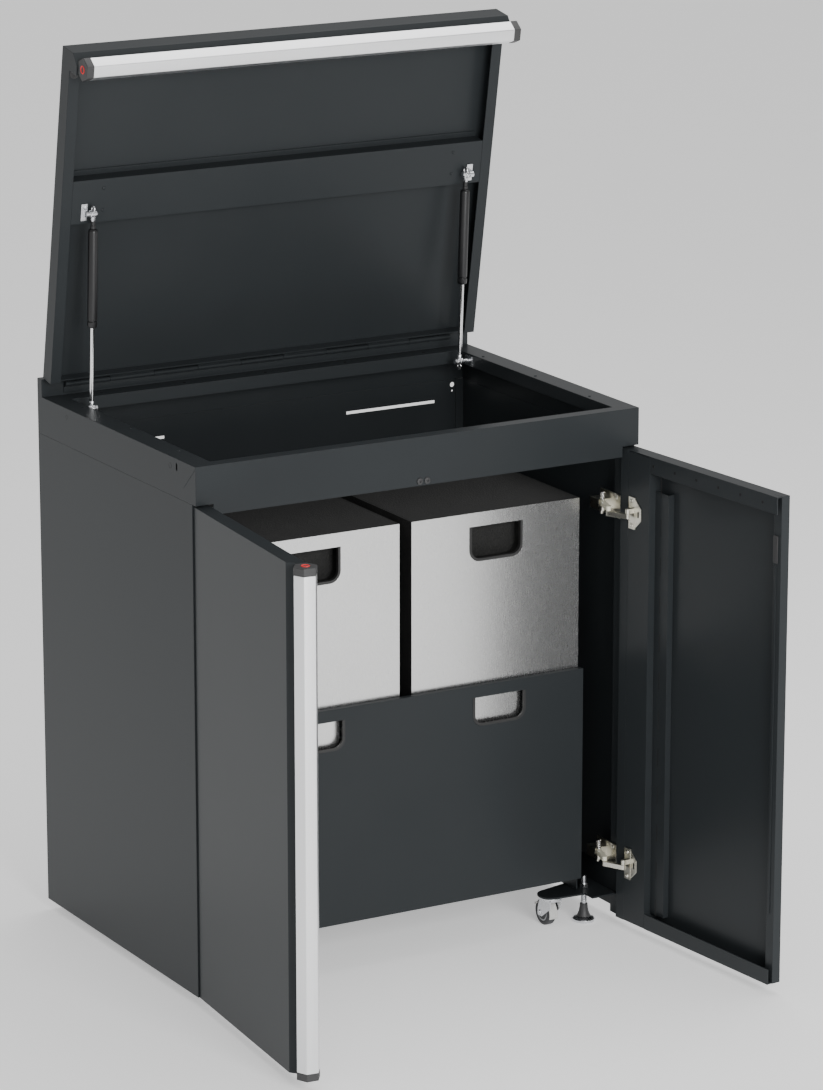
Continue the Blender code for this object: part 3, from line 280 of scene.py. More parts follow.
class Finish:
    """A procedural material: its shader, and the nodes that vary it."""

    def __init__(self, name, **fixed):
        self.material = bpy.data.materials.new(name)
        self.material.use_nodes = True
        self.nodes = self.material.node_tree.nodes
        self.links = self.material.node_tree.links
        self.shader = self.nodes["Principled BSDF"]
        for socket, value in fixed.items():
            self.shader.inputs[socket.replace("_", " ")].default_value = value

    def node(self, kind, settings=(), inputs=(), output=0):
        """A node with its settings, then its sockets' values or links."""
        made = self.nodes.new(f"ShaderNode{kind}")
        for name, value in dict(settings).items():
            setattr(made, name, value)
        for name, value in dict(inputs).items():
            if isinstance(value, Signal):
                self.links.new(value.socket, made.inputs[name])
            else:
                made.inputs[name].default_value = value
        return Signal(self, made.outputs[output])

    def drive(self, socket, value):
        self.links.new(value.socket, self.shader.inputs[socket])

    def place(self, stretch=(1, 1, 1)):
        """Positions on the piece, in metres, squeezed along each axis."""
        position = self.node("TexCoord", output="Object")
        return self.node("VectorMath", {"operation": "MULTIPLY"}, {0: position, 1: stretch})

    def noise(self, scale, detail=2.0, stretch=(1, 1, 1), roughness=0.5):
        """Noise from 0 to 1 whose features are about 1/scale metres across."""
        inputs = {"Vector": self.place(stretch), "Scale": scale, "Detail": detail, "Roughness": roughness}
        return self.node("TexNoise", {}, inputs, "Fac")

    def tint(self, amount, low, high):
        """A colour between two, which feeds the base colour."""
        mixed = self.node(
            "Mix", {"data_type": "RGBA"}, {0: amount, 6: (*low, 1), 7: (*high, 1)}, 2
        )
        self.drive("Base Color", mixed)

    def relief(self, height, strength, distance, edge=0.0):
        """Surface relief, over edges that look rounded by the given radius."""
        inputs = {"Height": height, "Strength": strength, "Distance": distance}
        if edge:
            inputs["Normal"] = self.node("Bevel", {"samples": 6}, {"Radius": edge})
        self.drive("Normal", self.node("Bump", {}, inputs))


# ---- finishes ----
def powder_coat(name, dark, light, roughness, edge=0.0012):
    """Baked powder paint on steel: a fine orange peel with a slightly uneven tone."""
    coat = Finish(name, Metallic=0.0, Coat_Roughness=0.16, Specular_IOR_Level=0.14)
    cloud = coat.noise(5.0, 3.0)
    speck = coat.noise(1400.0, 1.0)
    coat.tint(cloud * 0.65 + speck * 0.35, dark, light)
    coat.drive("Roughness", cloud * 0.07 + speck * 0.05 + (roughness - 0.06))
    coat.drive("Coat Weight", cloud * 0.03 + 0.01)
    peel = coat.noise(520.0, 2.0) * 0.7 + coat.noise(1500.0, 1.0) * 0.3
    coat.relief(peel, 0.10, 0.0004, edge)
    return coat.material


def brushed_steel(name, dark, light, roughness, grain, edge=0.0006):
    """Brushed sheet: short bright hairs in one direction over a fine speckle."""
    steel = Finish(name, Metallic=1.0)
    hair = steel.noise(900.0, 2.0, grain)
    speckle = steel.noise(620.0, 2.0)
    patch = steel.noise(9.0, 2.0)
    steel.tint(hair * 0.5 + speckle * 0.35 + patch * 0.15, dark, light)
    steel.drive("Roughness", hair * 0.10 + speckle * 0.08 + (roughness - 0.08))
    steel.relief(hair * 0.6 + speckle * 0.4, 0.035, 0.0001, edge)
    return steel.material


def anodised(name, grain):
    """A matt silver extrusion with fine die lines along its length."""
    silver = Finish(name, Metallic=1.0)
    line = silver.noise(1100.0, 2.0, grain)
    frost = silver.noise(1700.0, 1.0)
    silver.tint(line * 0.6 + frost * 0.4, (0.80, 0.81, 0.82), (0.96, 0.96, 0.97))
    silver.drive("Roughness", line * 0.08 + frost * 0.06 + 0.30)
    silver.relief(line * 0.6 + frost * 0.4, 0.08, 0.0001, 0.0008)
    return silver.material


def plated(name, dark, light, roughness):
    """Nickel, zinc or chrome plate with faint rolling marks."""
    plate = Finish(name, Metallic=1.0)
    cloud = plate.noise(60.0, 3.0)
    scratch = plate.noise(900.0, 2.0, (1, 0.08, 1))
    plate.tint(cloud * 0.7 + scratch * 0.3, dark, light)
    plate.drive("Roughness", cloud * 0.08 + scratch * 0.05 + (roughness - 0.06))
    plate.relief(scratch * 0.5 + cloud * 0.5, 0.05, 0.0002, 0.0007)
    return plate.material


def moulded(name, dark, light, roughness, grain_scale, depth, edge=0.0008, contrast=1.0):
    """Moulded plastic or rubber with an even grain."""
    skin = Finish(name, Metallic=0.0)
    cells = {"Vector": skin.place(), "Scale": grain_scale}
    grain = skin.node("TexVoronoi", {}, cells, "Distance")
    cloud = skin.noise(40.0, 2.0)
    skin.tint((grain * 0.6 + cloud * 0.4 - 0.5) * contrast + 0.5, dark, light)
    skin.drive("Roughness", cloud * 0.10 + grain * 0.08 + (roughness - 0.08))
    skin.relief(grain, 0.5, depth, edge)
    return skin.material


COAT = powder_coat("anthracite_coat", (0.0215, 0.0250, 0.0272), (0.0300, 0.0338, 0.0362), 0.34)
DARK_COAT = powder_coat("base_coat", (0.0150, 0.0172, 0.0190), (0.0215, 0.0242, 0.0264), 0.42)
SHEET_STEEL = brushed_steel("bin_steel_finish", (0.54, 0.54, 0.54), (0.84, 0.84, 0.83), 0.25, (1, 1, 0.06))
BAR_SILVER = anodised("upright_bar_finish", (1, 1, 0.01))
LID_BAR_SILVER = anodised("lid_bar_finish", (0.01, 1, 1))
NICKEL = plated("nickel_finish", (0.62, 0.60, 0.52), (0.82, 0.80, 0.72), 0.28)
ZINC = plated("zinc_finish", (0.62, 0.63, 0.65), (0.82, 0.83, 0.85), 0.26)
CHROME = plated("chrome_finish", (0.74, 0.74, 0.75), (0.90, 0.90, 0.91), 0.12)
CREAM = moulded("cream_enamel", (0.66, 0.64, 0.50), (0.78, 0.76, 0.62), 0.34, 1500.0, 0.00005)
TUBE_BLACK = moulded("strut_enamel", (0.006, 0.006, 0.007), (0.013, 0.013, 0.014), 0.30, 1200.0, 0.00003)
GRAINED = moulded(
    "grained_black_skin", (0.0008, 0.0008, 0.0008), (0.013, 0.013, 0.012), 0.78, 300.0, 0.0016, contrast=2.2
)
CAP_BLACK = moulded("cap_plastic", (0.028, 0.028, 0.029), (0.044, 0.044, 0.045), 0.48, 900.0, 0.0001)
TRIM_GREY = moulded("trim_rubber", (0.018, 0.018, 0.018), (0.028, 0.028, 0.028), 0.50, 900.0, 0.0001)
RED = moulded("red_insert_plastic", (0.74, 0.012, 0.014), (0.86, 0.020, 0.022), 0.36, 900.0, 0.00004)
TYRE = moulded("tyre_rubber", (0.030, 0.031, 0.033), (0.048, 0.050, 0.053), 0.60, 700.0, 0.0002)
HUB = moulded("hub_plastic", (0.30, 0.31, 0.32), (0.42, 0.43, 0.44), 0.42, 900.0, 0.0001)
PEDAL = moulded("brake_pedal_plastic", (0.50, 0.50, 0.48), (0.62, 0.62, 0.60), 0.40, 900.0, 0.0001)
SHADOW = moulded("hole_shadow", (0.002, 0.002, 0.002), (0.004, 0.004, 0.004), 0.80, 900.0, 0.0001)

NODE_FINISHES = {
    "lid_hinge": COAT,
    "lid_bar": LID_BAR_SILVER,
    "lid_": COAT,
    "door_bar": BAR_SILVER,
    "door_": COAT,
    "side_panel": COAT,
    "back_panel": COAT,
    "top_frame": COAT,
    "carrier": COAT,
    "base_rail": DARK_COAT,
    "bin_face": SHEET_STEEL,
    "bin_": GRAINED,
    "hinge_arm": CREAM,
    "hinge_": NICKEL,
    "levelling_foot": ZINC,
    "caster_fork": ZINC,
    "caster_wheel": TYRE,
    "strut_rod": CHROME,
    "strut_tube": TUBE_BLACK,
    "strut_": ZINC,
}
for node_name, node in NODES.items():
    start = next(start for start in NODE_FINISHES if node_name.startswith(start))
    node.data.materials.clear()
    node.data.materials.append(NODE_FINISHES[start])


# ---- mesh tools ----
def finish_piece(name, body, place, look, rides, round_angle=35.0, bevel=0.0):
    """A mesh object at a place, riding on its CAD body."""
    bmesh.ops.recalc_face_normals(body, faces=body.faces)
    mesh = bpy.data.meshes.new(name)
    body.to_mesh(mesh)
    body.free()
    piece = bpy.data.objects.new(name, mesh)
    bpy.context.collection.objects.link(piece)
    piece.matrix_world = place
    mesh.materials.append(look)
    mesh.shade_smooth()
    mesh.set_sharp_from_angle(angle=math.radians(round_angle))
    if bevel:
        edge = piece.modifiers.new("eased_edges", "BEVEL")
        edge.width = bevel
        edge.segments = 2
        edge.limit_method = "ANGLE"
        edge.harden_normals = True
    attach(piece, rides)
    return piece


def lathed(name, profile, place, look, rides, count=32):
    """A piece turned about its own Z from (radius, height) points; a radius of 0 closes it."""
    body = bmesh.new()
    rings = []
    for radius, height in profile:
        if radius:
            steps = [2 * math.pi * index / count for index in range(count)]
            ring = [(radius * math.cos(step), radius * math.sin(step), height) for step in steps]
            rings.append([body.verts.new(point) for point in ring])
        else:
            rings.append([body.verts.new((0, 0, height))])
    for upper, lower in zip(rings, rings[1:]):
        for index in range(count):
            after = (index + 1) % count
            if len(upper) == 1:
                body.faces.new((upper[0], lower[index], lower[after]))
            elif len(lower) == 1:
                body.faces.new((upper[index], lower[0], upper[after]))
            else:
                body.faces.new((upper[index], lower[index], lower[after], upper[after]))
    for ring in (rings[0], rings[-1]):
        if len(ring) > 1:
            body.faces.new(ring)
    return finish_piece(name, body, place, look, rides)


def extruded(name, outline, length, place, look, rides, bevel=0.0, holes=()):
    """An outline in its own XY plane, pushed along its own Z, with any holes through it."""
    body = bmesh.new()
    loops = [outline, *holes]
    rims = []
    for height in (0.0, length):
        rim = []
        edges = []
        for loop in loops:
            ring = [body.verts.new((x, y, height)) for x, y in loop]
            rim.append(ring)
            for index, corner in enumerate(ring):
                edges.append(body.edges.new((corner, ring[(index + 1) % len(ring)])))
        rims.append(rim)
        if holes:
            bmesh.ops.triangle_fill(body, edges=edges, use_dissolve=True, use_beauty=True)
        else:
            body.faces.new(rim[0])
    for low, high in zip(*rims):
        for index, corner in enumerate(low):
            after = (index + 1) % len(low)
            body.faces.new((corner, low[after], high[after], high[index]))
    return finish_piece(name, body, place, look, rides, bevel=bevel)


def wire(name, points, radius, place, look, rides, closed=False):
    """A round wire or bead along points."""
    curve = bpy.data.curves.new(name, "CURVE")
    curve.dimensions = "3D"
    curve.bevel_depth = radius
    curve.bevel_resolution = 3
    curve.use_fill_caps = True
    spline = curve.splines.new("POLY")
    spline.points.add(len(points) - 1)
    for knot, point in zip(spline.points, points):
        knot.co = (*point, 1)
    spline.use_cyclic_u = closed
    spline.use_smooth = True
    piece = bpy.data.objects.new(name, curve)
    bpy.context.collection.objects.link(piece)
    piece.matrix_world = place
    curve.materials.append(look)
    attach(piece, rides)
    return piece


def arc(centre, radius, start, end, count):
    """Points along an arc, with its angles in degrees."""
    steps = [math.radians(start + (end - start) * index / (count - 1)) for index in range(count)]
    return [(centre[0] + radius * math.cos(a), centre[1] + radius * math.sin(a)) for a in steps]


def rounded_polygon(corners, radius, count=5):
    """A convex outline, drawn anticlockwise, whose corners are arcs."""
    points = []
    for index, corner in enumerate(corners):
        here = Vector(corner)
        before = (Vector(corners[index - 1]) - here).normalized()
        after = (Vector(corners[(index + 1) % len(corners)]) - here).normalized()
        half_angle = before.angle(after) / 2
        centre = here + (before + after).normalized() * (radius / math.sin(half_angle))
        start = math.degrees(math.atan2(*(-Vector((before.y, -before.x))).yx))
        sweep = 180 - 2 * math.degrees(half_angle)
        points += arc(centre, radius, start, start + sweep, count)
    return points


def capsule(radius, half, count):
    """A slot's outline with round ends, whose end centres are half above and below its middle."""
    return arc((0, half), radius, 0, 180, count) + arc((0, -half), radius, 180, 360, count)


def rectangle(width, height):
    return [
        (-width / 2, -height / 2),
        (width / 2, -height / 2),
        (width / 2, height / 2),
        (-width / 2, height / 2),
    ]


def screw(name, place, direction, rides, look=ZINC, radius=SCREW_RADIUS):
    """A domed screw head with a cross recess."""
    dome = [(1.0, 0.0), (0.97, 0.18), (0.75, 0.42), (0.40, 0.54)]
    recess = [(0.34, 0.54), (0.20, 0.22), (0, 0.18)]
    head = [(radius * across, radius * height) for across, height in dome + recess]
    return lathed(name, head, pointing(place, direction), look, rides, 20)


# ---- hexagonal bars ----
def make_bar(name, node, opened, along, look, rides):
    """The bar's extrusion with eased corners, and a plastic cap with a red insert at each end."""
    low, high = box_when_shut(node, opened)
    centre = (low + high) / 2
    across = max(high[axis] - low[axis] for axis in range(3) if axis != along) / 2
    flat_first = along == 0
    start = 0 if flat_first else 30
    hexagon = arc((0, 0), across, start, start + 300, 6)
    outline = rounded_polygon(hexagon, CORNER_RADIUS)
    inside = [(x * 0.82, y * 0.82) for x, y in outline]
    direction = Vector([float(axis == along) for axis in range(3)])
    turn = Matrix.Rotation(QUARTER, 4, "Y") if flat_first else STILL
    length = high[along] - low[along]
    for_bar = opened @ Matrix.Translation(centre - direction * (length / 2 - BAR_CAP_LENGTH)) @ turn
    if flat_first:
        for_bar = for_bar @ Matrix.Rotation(QUARTER, 4, "Z")
    bar = extruded(
        f"{name}_extrusion",
        outline,
        length - 2 * BAR_CAP_LENGTH,
        for_bar,
        look,
        rides,
        holes=[inside[::-1]],
    )
    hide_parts(node)
    cap_outline = [(x * (1 + BAR_CAP_LIP / across), y * (1 + BAR_CAP_LIP / across)) for x, y in outline]
    for end in (-1, 1):
        corner = centre + direction * end * (length / 2 - (BAR_CAP_LENGTH if end > 0 else 0))
        spin = for_bar.to_quaternion().to_matrix().to_4x4()
        cap_place = Matrix.Translation((opened @ corner)) @ spin
        which = "high" if end > 0 else "low"
        extruded(
            f"{name}_cap_{which}",
            cap_outline,
            BAR_CAP_LENGTH,
            cap_place,
            CAP_BLACK,
            rides,
            bevel=0.0012,
        )
        face = opened @ (centre + direction * end * length / 2)
        out = (opened.to_3x3() @ direction) * end
        radius = RED_INSERT_RADIUS
        dish = [
            (radius, -0.0008),
            (radius, 0.0006),
            (radius * 0.88, 0.0012),
            (radius * 0.76, 0.0006),
            (radius * 0.70, -0.0002),
            (0, -0.0002),
        ]
        lathed(f"{name}_insert_{which}", dish, pointing(face, out), RED, rides)


# ---- door buffers, holes and seams on the top frame ----
def make_frame_details():
    for label, x in BUFFER_PLACES.items():
        radius = BUFFER_RADIUS
        dome = [(radius, -0.0005)]
        dome += arc((radius - BUFFER_ROUND, BUFFER_LENGTH), BUFFER_ROUND, 0, 90, 5)
        dome += [(radius * 0.35, BUFFER_LENGTH + BUFFER_ROUND), (radius * 0.28, 0.0004), (0, 0.0003)]
        place = pointing((x, FRONT, RIM - BUFFER_DROP), (0, -1, 0))
        lathed(f"door_buffer_{label}", dome, place, CAP_BLACK, "cabinet", 28)
    for side, sign in SIDES.items():
        face = sign * HALF
        for label, back, drop, radius in SIDE_HOLES:
            ring = [(radius * 1.16, -0.0002), (radius * 1.12, 0.0001), (radius, 0.0001)]
            ring += [(radius * 0.94, -0.0004), (0, -0.0004)]
            place = pointing((face, FRONT + back, RIM - drop), (sign, 0, 0))
            lathed(f"frame_hole_{label}_{side}", ring, place, SHADOW, "cabinet", 24)
        slot_outline = capsule(SLOT_RADIUS, SLOT_HALF, 9)
        place = Matrix.Translation((face - 0.0002 * (sign > 0), FRONT + SLOT_BACK, RIM - SLOT_DROP))
        place = place @ Matrix.Rotation(QUARTER, 4, "Y") @ Matrix.Rotation(QUARTER, 4, "Z")
        extruded(f"frame_slot_{side}", slot_outline, 0.0003, place, SHADOW, "cabinet")
        bead = [(face, FRONT + back, RIM - drop) for back, drop in SEAM_MITRE]
        wire(f"frame_corner_seam_{side}", bead, SEAM_BEAD, STILL, COAT, "cabinet")
        for index, back in enumerate(RIM_RIVET_BACKS):
            radius = RIM_RIVET_RADIUS
            rivet = [(radius, 0.0), (radius * 0.92, 0.0006), (radius * 0.6, 0.0012), (0, 0.0014)]
            place = pointing((sign * (HALF - RIM_RIVET_FROM_SIDE), FRONT + back, RIM), (0, 0, 1))
            lathed(f"rim_rivet_{index}_{side}", rivet, place, COAT, "cabinet", 20)
    for index in range(REAR_HOLE_COUNT):
        x = (index - REAR_HOLE_COUNT // 2) * REAR_HOLE_PITCH
        radius = REAR_HOLE_RADIUS
        ring = [(radius * 1.2, 0.0), (radius * 1.1, 0.0002), (radius, 0.0002), (0, 0.0)]
        place = pointing((x, REAR - REAR_HOLE_FROM_BACK, RIM), (0, 0, 1))
        lathed(f"rear_rim_hole_{index}", ring, place, SHADOW, "cabinet", 20)


# ---- door hinges ----
def helix(radius, height, turns, count=14):
    total = int(turns * count)
    points = []
    for index in range(total + 1):
        angle = 2 * math.pi * index / count
        points.append((radius * math.cos(angle), radius * math.sin(angle), height * index / total))
    return points


def make_hinge_details(side, level):
    """Screws of base and plate, the pin head, the spring, and the plate's wing with its slot."""
    sign = SIDES[side]
    where = f"{level}_{side}"
    low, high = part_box(f"hinge_base_{where}")
    middle = (low + high) / 2
    inner = low.x if sign > 0 else high.x
    wall = (high.x if sign > 0 else low.x) - sign * BASE_WALL
    for index, (back, rise) in enumerate(BASE_SCREW_PLACES):
        place = (wall, low.y + back, middle.z + rise)
        name = f"base_screw_{index}_{where}"
        screw(name, place, (-sign, 0, 0), "cabinet", NICKEL, BASE_SCREW_RADIUS)
    pivot = Vector(JOINTS[f"hinge_arm_{where}_turn"]["pos_m"])
    pin = [(0.0032, 0.0), (0.0032, 0.0016), (0.0024, 0.0026), (0, 0.0028)]
    place = pointing((pivot.x, pivot.y, high.z - PIN_HEAD_DROP), (0, 0, 1))
    lathed(f"hinge_pin_head_{where}", pin, place, CHROME, "cabinet", 20)
    across, back, rise = SPRING_PLACE
    coil_place = Matrix.Translation((inner + sign * across, low.y + back, middle.z + rise))
    coil = helix(SPRING_RADIUS, SPRING_HEIGHT, SPRING_TURNS)
    wire(f"hinge_spring_{where}", coil, SPRING_WIRE, coil_place, CHROME, "cabinet")
    opened = DOOR_OPEN[side]
    low, high = box_when_shut(f"hinge_plate_{where}", opened)
    centre = (low + high) / 2
    plate_face = low.y + HINGE_PLATE_THICKNESS + 0.0003
    back = opened.to_3x3() @ Vector((0, 1, 0))
    edge = low.x if sign > 0 else high.x
    reach = -sign * WING_REACH
    wing = [(0, -WING_HALF), (reach, -WING_TIP_HALF), (reach, WING_TIP_HALF), (0, WING_HALF)]
    flat = Matrix.Rotation(-QUARTER, 4, "X")
    place = opened @ Matrix.Translation((edge, low.y + 0.0002, centre.z)) @ flat
    door = f"door_{side}"
    extruded(f"hinge_wing_{where}", wing, WING_THICKNESS, place, NICKEL, door, bevel=0.0005)
    hole = capsule(WING_SLOT_RADIUS, WING_SLOT_HALF, 7)
    place = Matrix.Translation((edge + reach * WING_SLOT_REACH, low.y + 0.0002 + WING_THICKNESS, centre.z))
    place = opened @ place @ flat
    extruded(f"hinge_wing_slot_{where}", hole, 0.0002, place, SHADOW, door)
    for label, rise in (("low", -PLATE_SCREW_SPACING / 2), ("high", PLATE_SCREW_SPACING / 2)):
        place = opened @ Vector((centre.x, plate_face, centre.z + rise))
        screw(f"plate_screw_{label}_{where}", place, back, door, NICKEL, PLATE_SCREW_RADIUS)


# ---- doors ----
def make_door_details(side):
    """The rail's fixing holes, the slots along the stile's seam, and the keeper with its strip."""
    opened = DOOR_OPEN[side]
    rides = f"door_{side}"
    sign = SIDES[side]
    low, high = box_when_shut(f"door_{side}_skin", opened)
    inner_face = high.y
    toward = opened.to_3x3() @ Vector((0, 1, 0))
    free = low.x if sign > 0 else high.x
    radius = RAIL_HOLE_RADIUS
    ring = [(radius, -0.0001), (radius - 0.0001, 0.0002), (radius - 0.0005, 0.0002), (0, 0.0001)]
    for index in range(RAIL_HOLE_COUNT):
        x = free + sign * (RAIL_HOLE_START + RAIL_HOLE_PITCH * index)
        place = pointing(opened @ Vector((x, inner_face, high.z - RAIL_HOLE_DROP)), toward)
        lathed(f"door_rail_hole_{index}_{side}", ring, place, SHADOW, rides, 18)
    stile_low, stile_high = box_when_shut(f"door_{side}_stile", opened)
    seam = (stile_low.x if sign > 0 else stile_high.x) + sign * SEAM_SLOT_INSET
    dash = rounded_polygon(rectangle(*SEAM_SLOT_SIZE), 0.0010, 3)
    flat = Matrix.Rotation(-QUARTER, 4, "X")
    run = stile_high.z - stile_low.z - 2 * SEAM_SLOT_MARGIN
    for index in range(SEAM_SLOT_COUNT):
        height = stile_low.z + SEAM_SLOT_MARGIN + run * index / (SEAM_SLOT_COUNT - 1)
        place = opened @ Matrix.Translation((seam, stile_high.y + 0.0001, height)) @ flat
        extruded(f"door_seam_slot_{index}_{side}", dash, 0.0003, place, SHADOW, rides)
    if sign > 0:
        x = free + KEEPER_FROM_EDGE
        lip = inner_face - KEEPER_SETBACK
        tab = rounded_polygon(rectangle(*KEEPER_SIZE), 0.003)
        place = opened @ Matrix.Translation((x, lip, KEEPER_HEIGHT)) @ flat
        extruded("door_keeper", tab, 0.0022, place, CAP_BLACK, rides, bevel=0.0008)
        strip = rounded_polygon(rectangle(*EDGE_STRIP_SIZE), 0.002)
        place = opened @ Matrix.Translation((x, lip, EDGE_STRIP_HEIGHT)) @ flat
        extruded("door_edge_strip", strip, 0.0012, place, COAT, rides, bevel=0.0005)


# ---- lid ----
def make_lid_details():
    """The plugs under the lid's side returns and the rivets that hold the brace."""
    low, high = box_when_shut("lid_skin", LID_OPEN)
    under = Vector((0, 0, -1))
    shut = LID_OPEN.inverted()
    corners = [shut @ vertex.co for vertex in NODES["lid_skin"].data.vertices]
    side_edge = [c.z for c in corners if c.x > high.x - 0.001 and c.y > low.y + 0.1]
    for side, sign in SIDES.items():
        radius = PLUG_RADIUS
        button = [(radius, -0.0002), (radius, 0.0002), (radius * 0.84, 0.0003)]
        button += [(radius * 0.78, 0.0001), (0, 0.0001)]
        x = sign * (high.x - PLUG_FROM_EDGE)
        place = LID_OPEN @ Vector((x, low.y + PLUG_BACK, min(side_edge)))
        downward = LID_OPEN.to_3x3() @ under
        lathed(f"lid_plug_{side}", button, pointing(place, downward), CAP_BLACK, "lid")
        brace_low, brace_high = box_when_shut("lid_brace", LID_OPEN)
        for index, back in enumerate(BRACE_RIVET_BACKS):
            x = sign * (brace_high.x - BRACE_RIVET_FROM_END)
            spot = LID_OPEN @ Vector((x, brace_low.y + back, brace_low.z))
            rivet = [(0.0034, 0.0), (0.0031, 0.0007), (0.0018, 0.0013), (0, 0.0014)]
            place = pointing(spot, downward)
            lathed(f"brace_rivet_{index}_{side}", rivet, place, COAT, "lid", 20)


# ---- gas struts ----
def make_strut_details(side):
    """The pressure tube with its collar, the piston rod, the ball sockets, eyelets and clips."""
    foot = Vector(JOINTS[f"strut_{side}_turn"]["pos_m"])
    slide = Vector(JOINTS[f"strut_{side}_slide"]["axis"]).normalized()
    low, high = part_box(f"strut_tube_{side}")
    far = max((Vector(v.co) - foot).dot(slide) for v in NODES[f"strut_tube_{side}"].data.vertices)
    near = min((Vector(v.co) - foot).dot(slide) for v in NODES[f"strut_tube_{side}"].data.vertices)
    head = far - HEAD_FROM_END
    radius = (high.x - low.x) / 2
    top = head - TUBE_TOP_DROP
    profile = [(0.0042, near - 0.0004), (radius * 0.72, near), (radius * 0.94, near + 0.0016)]
    profile += [(radius, near + 0.004), (radius, near + 0.011), (radius * 0.84, near + 0.0118)]
    profile += [(radius * 0.84, near + 0.0136), (radius, near + 0.0144)]
    round_start = (radius - SHOULDER_RADIUS, top - SHOULDER_RADIUS)
    profile += arc(round_start, SHOULDER_RADIUS, 0, 90, 5)
    profile += [(0.0048, top + 0.0005), (0.0048, top + 0.006)]
    profile += [(ROD_RADIUS, top + 0.007), (ROD_RADIUS, head - 0.006)]
    along = pointing(foot, slide)
    tube = lathed(f"pressure_tube_{side}", profile, along, TUBE_BLACK, f"strut_tube_{side}")
    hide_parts(f"strut_tube_{side}")
    ends = (("head", head, f"strut_tube_{side}", -1), ("foot", 0.0, f"strut_rod_{side}", 1))
    for label, height, rides, towards in ends:
        half = [(0.0, 0.0076), (0.0052, 0.0072), (SOCKET_RADIUS, 0.0050)]
        socket = [(r, -h) for r, h in half] + half[::-1]
        centre = foot + slide * height
        across = pointing(centre, (1, 0, 0))
        lathed(f"strut_socket_{label}_{side}", socket, across, ZINC, rides, 28)
        neck = [(0.0, 0.002), (0.0046, 0.002), (0.0046, 0.0125), (0.0038, 0.0140), (0.0, 0.0140)]
        place = pointing(centre, slide * towards)
        lathed(f"strut_socket_neck_{label}_{side}", neck, place, ZINC, rides, 24)
        eyelet = [(x, y, 0.0) for x, y in arc((0, 0), EYELET_RADIUS, 0, 345, 24)]
        place = pointing(centre - slide * towards * EYELET_REACH, (1, 0, 0))
        wire(f"strut_eyelet_{label}_{side}", eyelet, EYELET_WIRE, place, CHROME, rides, closed=True)
        clip = [(x, y, 0.0) for x, y in arc((0, 0), CLIP_RADIUS, 0, 300, 16)]
        wire(f"strut_clip_wire_{label}_{side}", clip, CLIP_WIRE, across, CHROME, rides)
    rod_top = near + ROD_OVERLAP
    rod = [(0.0, ROD_START), (ROD_RADIUS, ROD_START), (ROD_RADIUS, rod_top), (0.0, rod_top)]
    shaft = lathed(f"piston_rod_{side}", rod, along, CHROME, f"strut_rod_{side}")
    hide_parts(f"strut_rod_{side}")


# ---- casters and levelling feet ----
def make_caster_details(end, side):
    """The wheel's tyre and hub, the axle's nuts, the swivel race, the cover and the brake's pedal."""
    where = f"{end}_{side}"
    low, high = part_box(f"caster_wheel_{where}")
    centre = (low + high) / 2
    half = (high.x - low.x) / 2
    radius = (high.z - low.z) / 2
    across = pointing(centre, (1, 0, 0))
    crown = arc((radius - TYRE_ROUND, half - TYRE_ROUND), TYRE_ROUND, 0, 90, 6)
    tread = crown[::-1] + [(radius, 0.0)] + [(r, -h) for r, h in crown]
    inner = radius * TYRE_INNER
    profile = [(inner, half - 0.0012)] + tread + [(inner, -half + 0.0012)]
    tyre = lathed(f"caster_tyre_{where}", profile, across, TYRE, f"caster_wheel_{where}", 48)
    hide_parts(f"caster_wheel_{where}")
    hub_half = half - 0.0004
    hub = [(0.0034, hub_half), (0.0060, hub_half), (0.0064, hub_half - 0.003)]
    hub += [(inner * 0.80, hub_half - 0.0034), (inner * 0.86, hub_half - 0.0006)]
    hub += [(inner * 1.02, hub_half - 0.0008)]
    hub += [(r, -h) for r, h in hub[::-1]]
    lathed(f"caster_hub_{where}", hub, across, HUB, f"caster_wheel_{where}", 40)
    fork = f"caster_fork_{where}"
    fork_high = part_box(fork)[1]
    for label, sign in SIDES.items():
        nut = arc((0, 0), AXLE_NUT_RADIUS, 0, 300, 6)
        place = pointing(centre + Vector((sign * (half + AXLE_NUT_GAP), 0, 0)), (sign, 0, 0))
        name = f"axle_nut_{label}_{where}"
        extruded(name, nut, AXLE_NUT_HEIGHT, place, ZINC, fork, bevel=0.0004)
    swivel = Vector(JOINTS[f"caster_{where}_swivel"]["pos_m"])
    race = [(0.0212, -0.0052), (0.0226, -0.0040), (0.0226, -0.0014), (0.0206, -0.0006)]
    place = Matrix.Translation((swivel.x, swivel.y, fork_high.z))
    lathed(f"swivel_race_{where}", race, place, ZINC, fork, 40)
    start, end_angle = COVER_SPAN
    cover = arc((0, 0), radius + COVER_GAP + COVER_THICKNESS, start, end_angle, 14)
    cover += arc((0, 0), radius + COVER_GAP, end_angle, start, 14)
    place = pointing(centre - Vector((half - COVER_SIDE_GAP, 0, 0)), (1, 0, 0))
    width = 2 * (half - COVER_SIDE_GAP)
    extruded(f"wheel_cover_{where}", cover, width, place, PEDAL, fork, bevel=0.0004)
    if end == "front":
        right_edge = [(0.012, 0.0), (0.013, 0.010), (0.009, 0.017)]
        lever = [(-0.012, 0.0)] + right_edge + [(-0.009, 0.017), (-0.013, 0.010)]
        place = Matrix.Translation((swivel.x, centre.y + 0.010, fork_high.z - 0.021))
        place = place @ Matrix.Rotation(math.radians(PEDAL_TILT), 4, "X")
        name = f"brake_pedal_{where}"
        extruded(name, lever, PEDAL_THICKNESS, place, PEDAL, fork, bevel=0.0010)


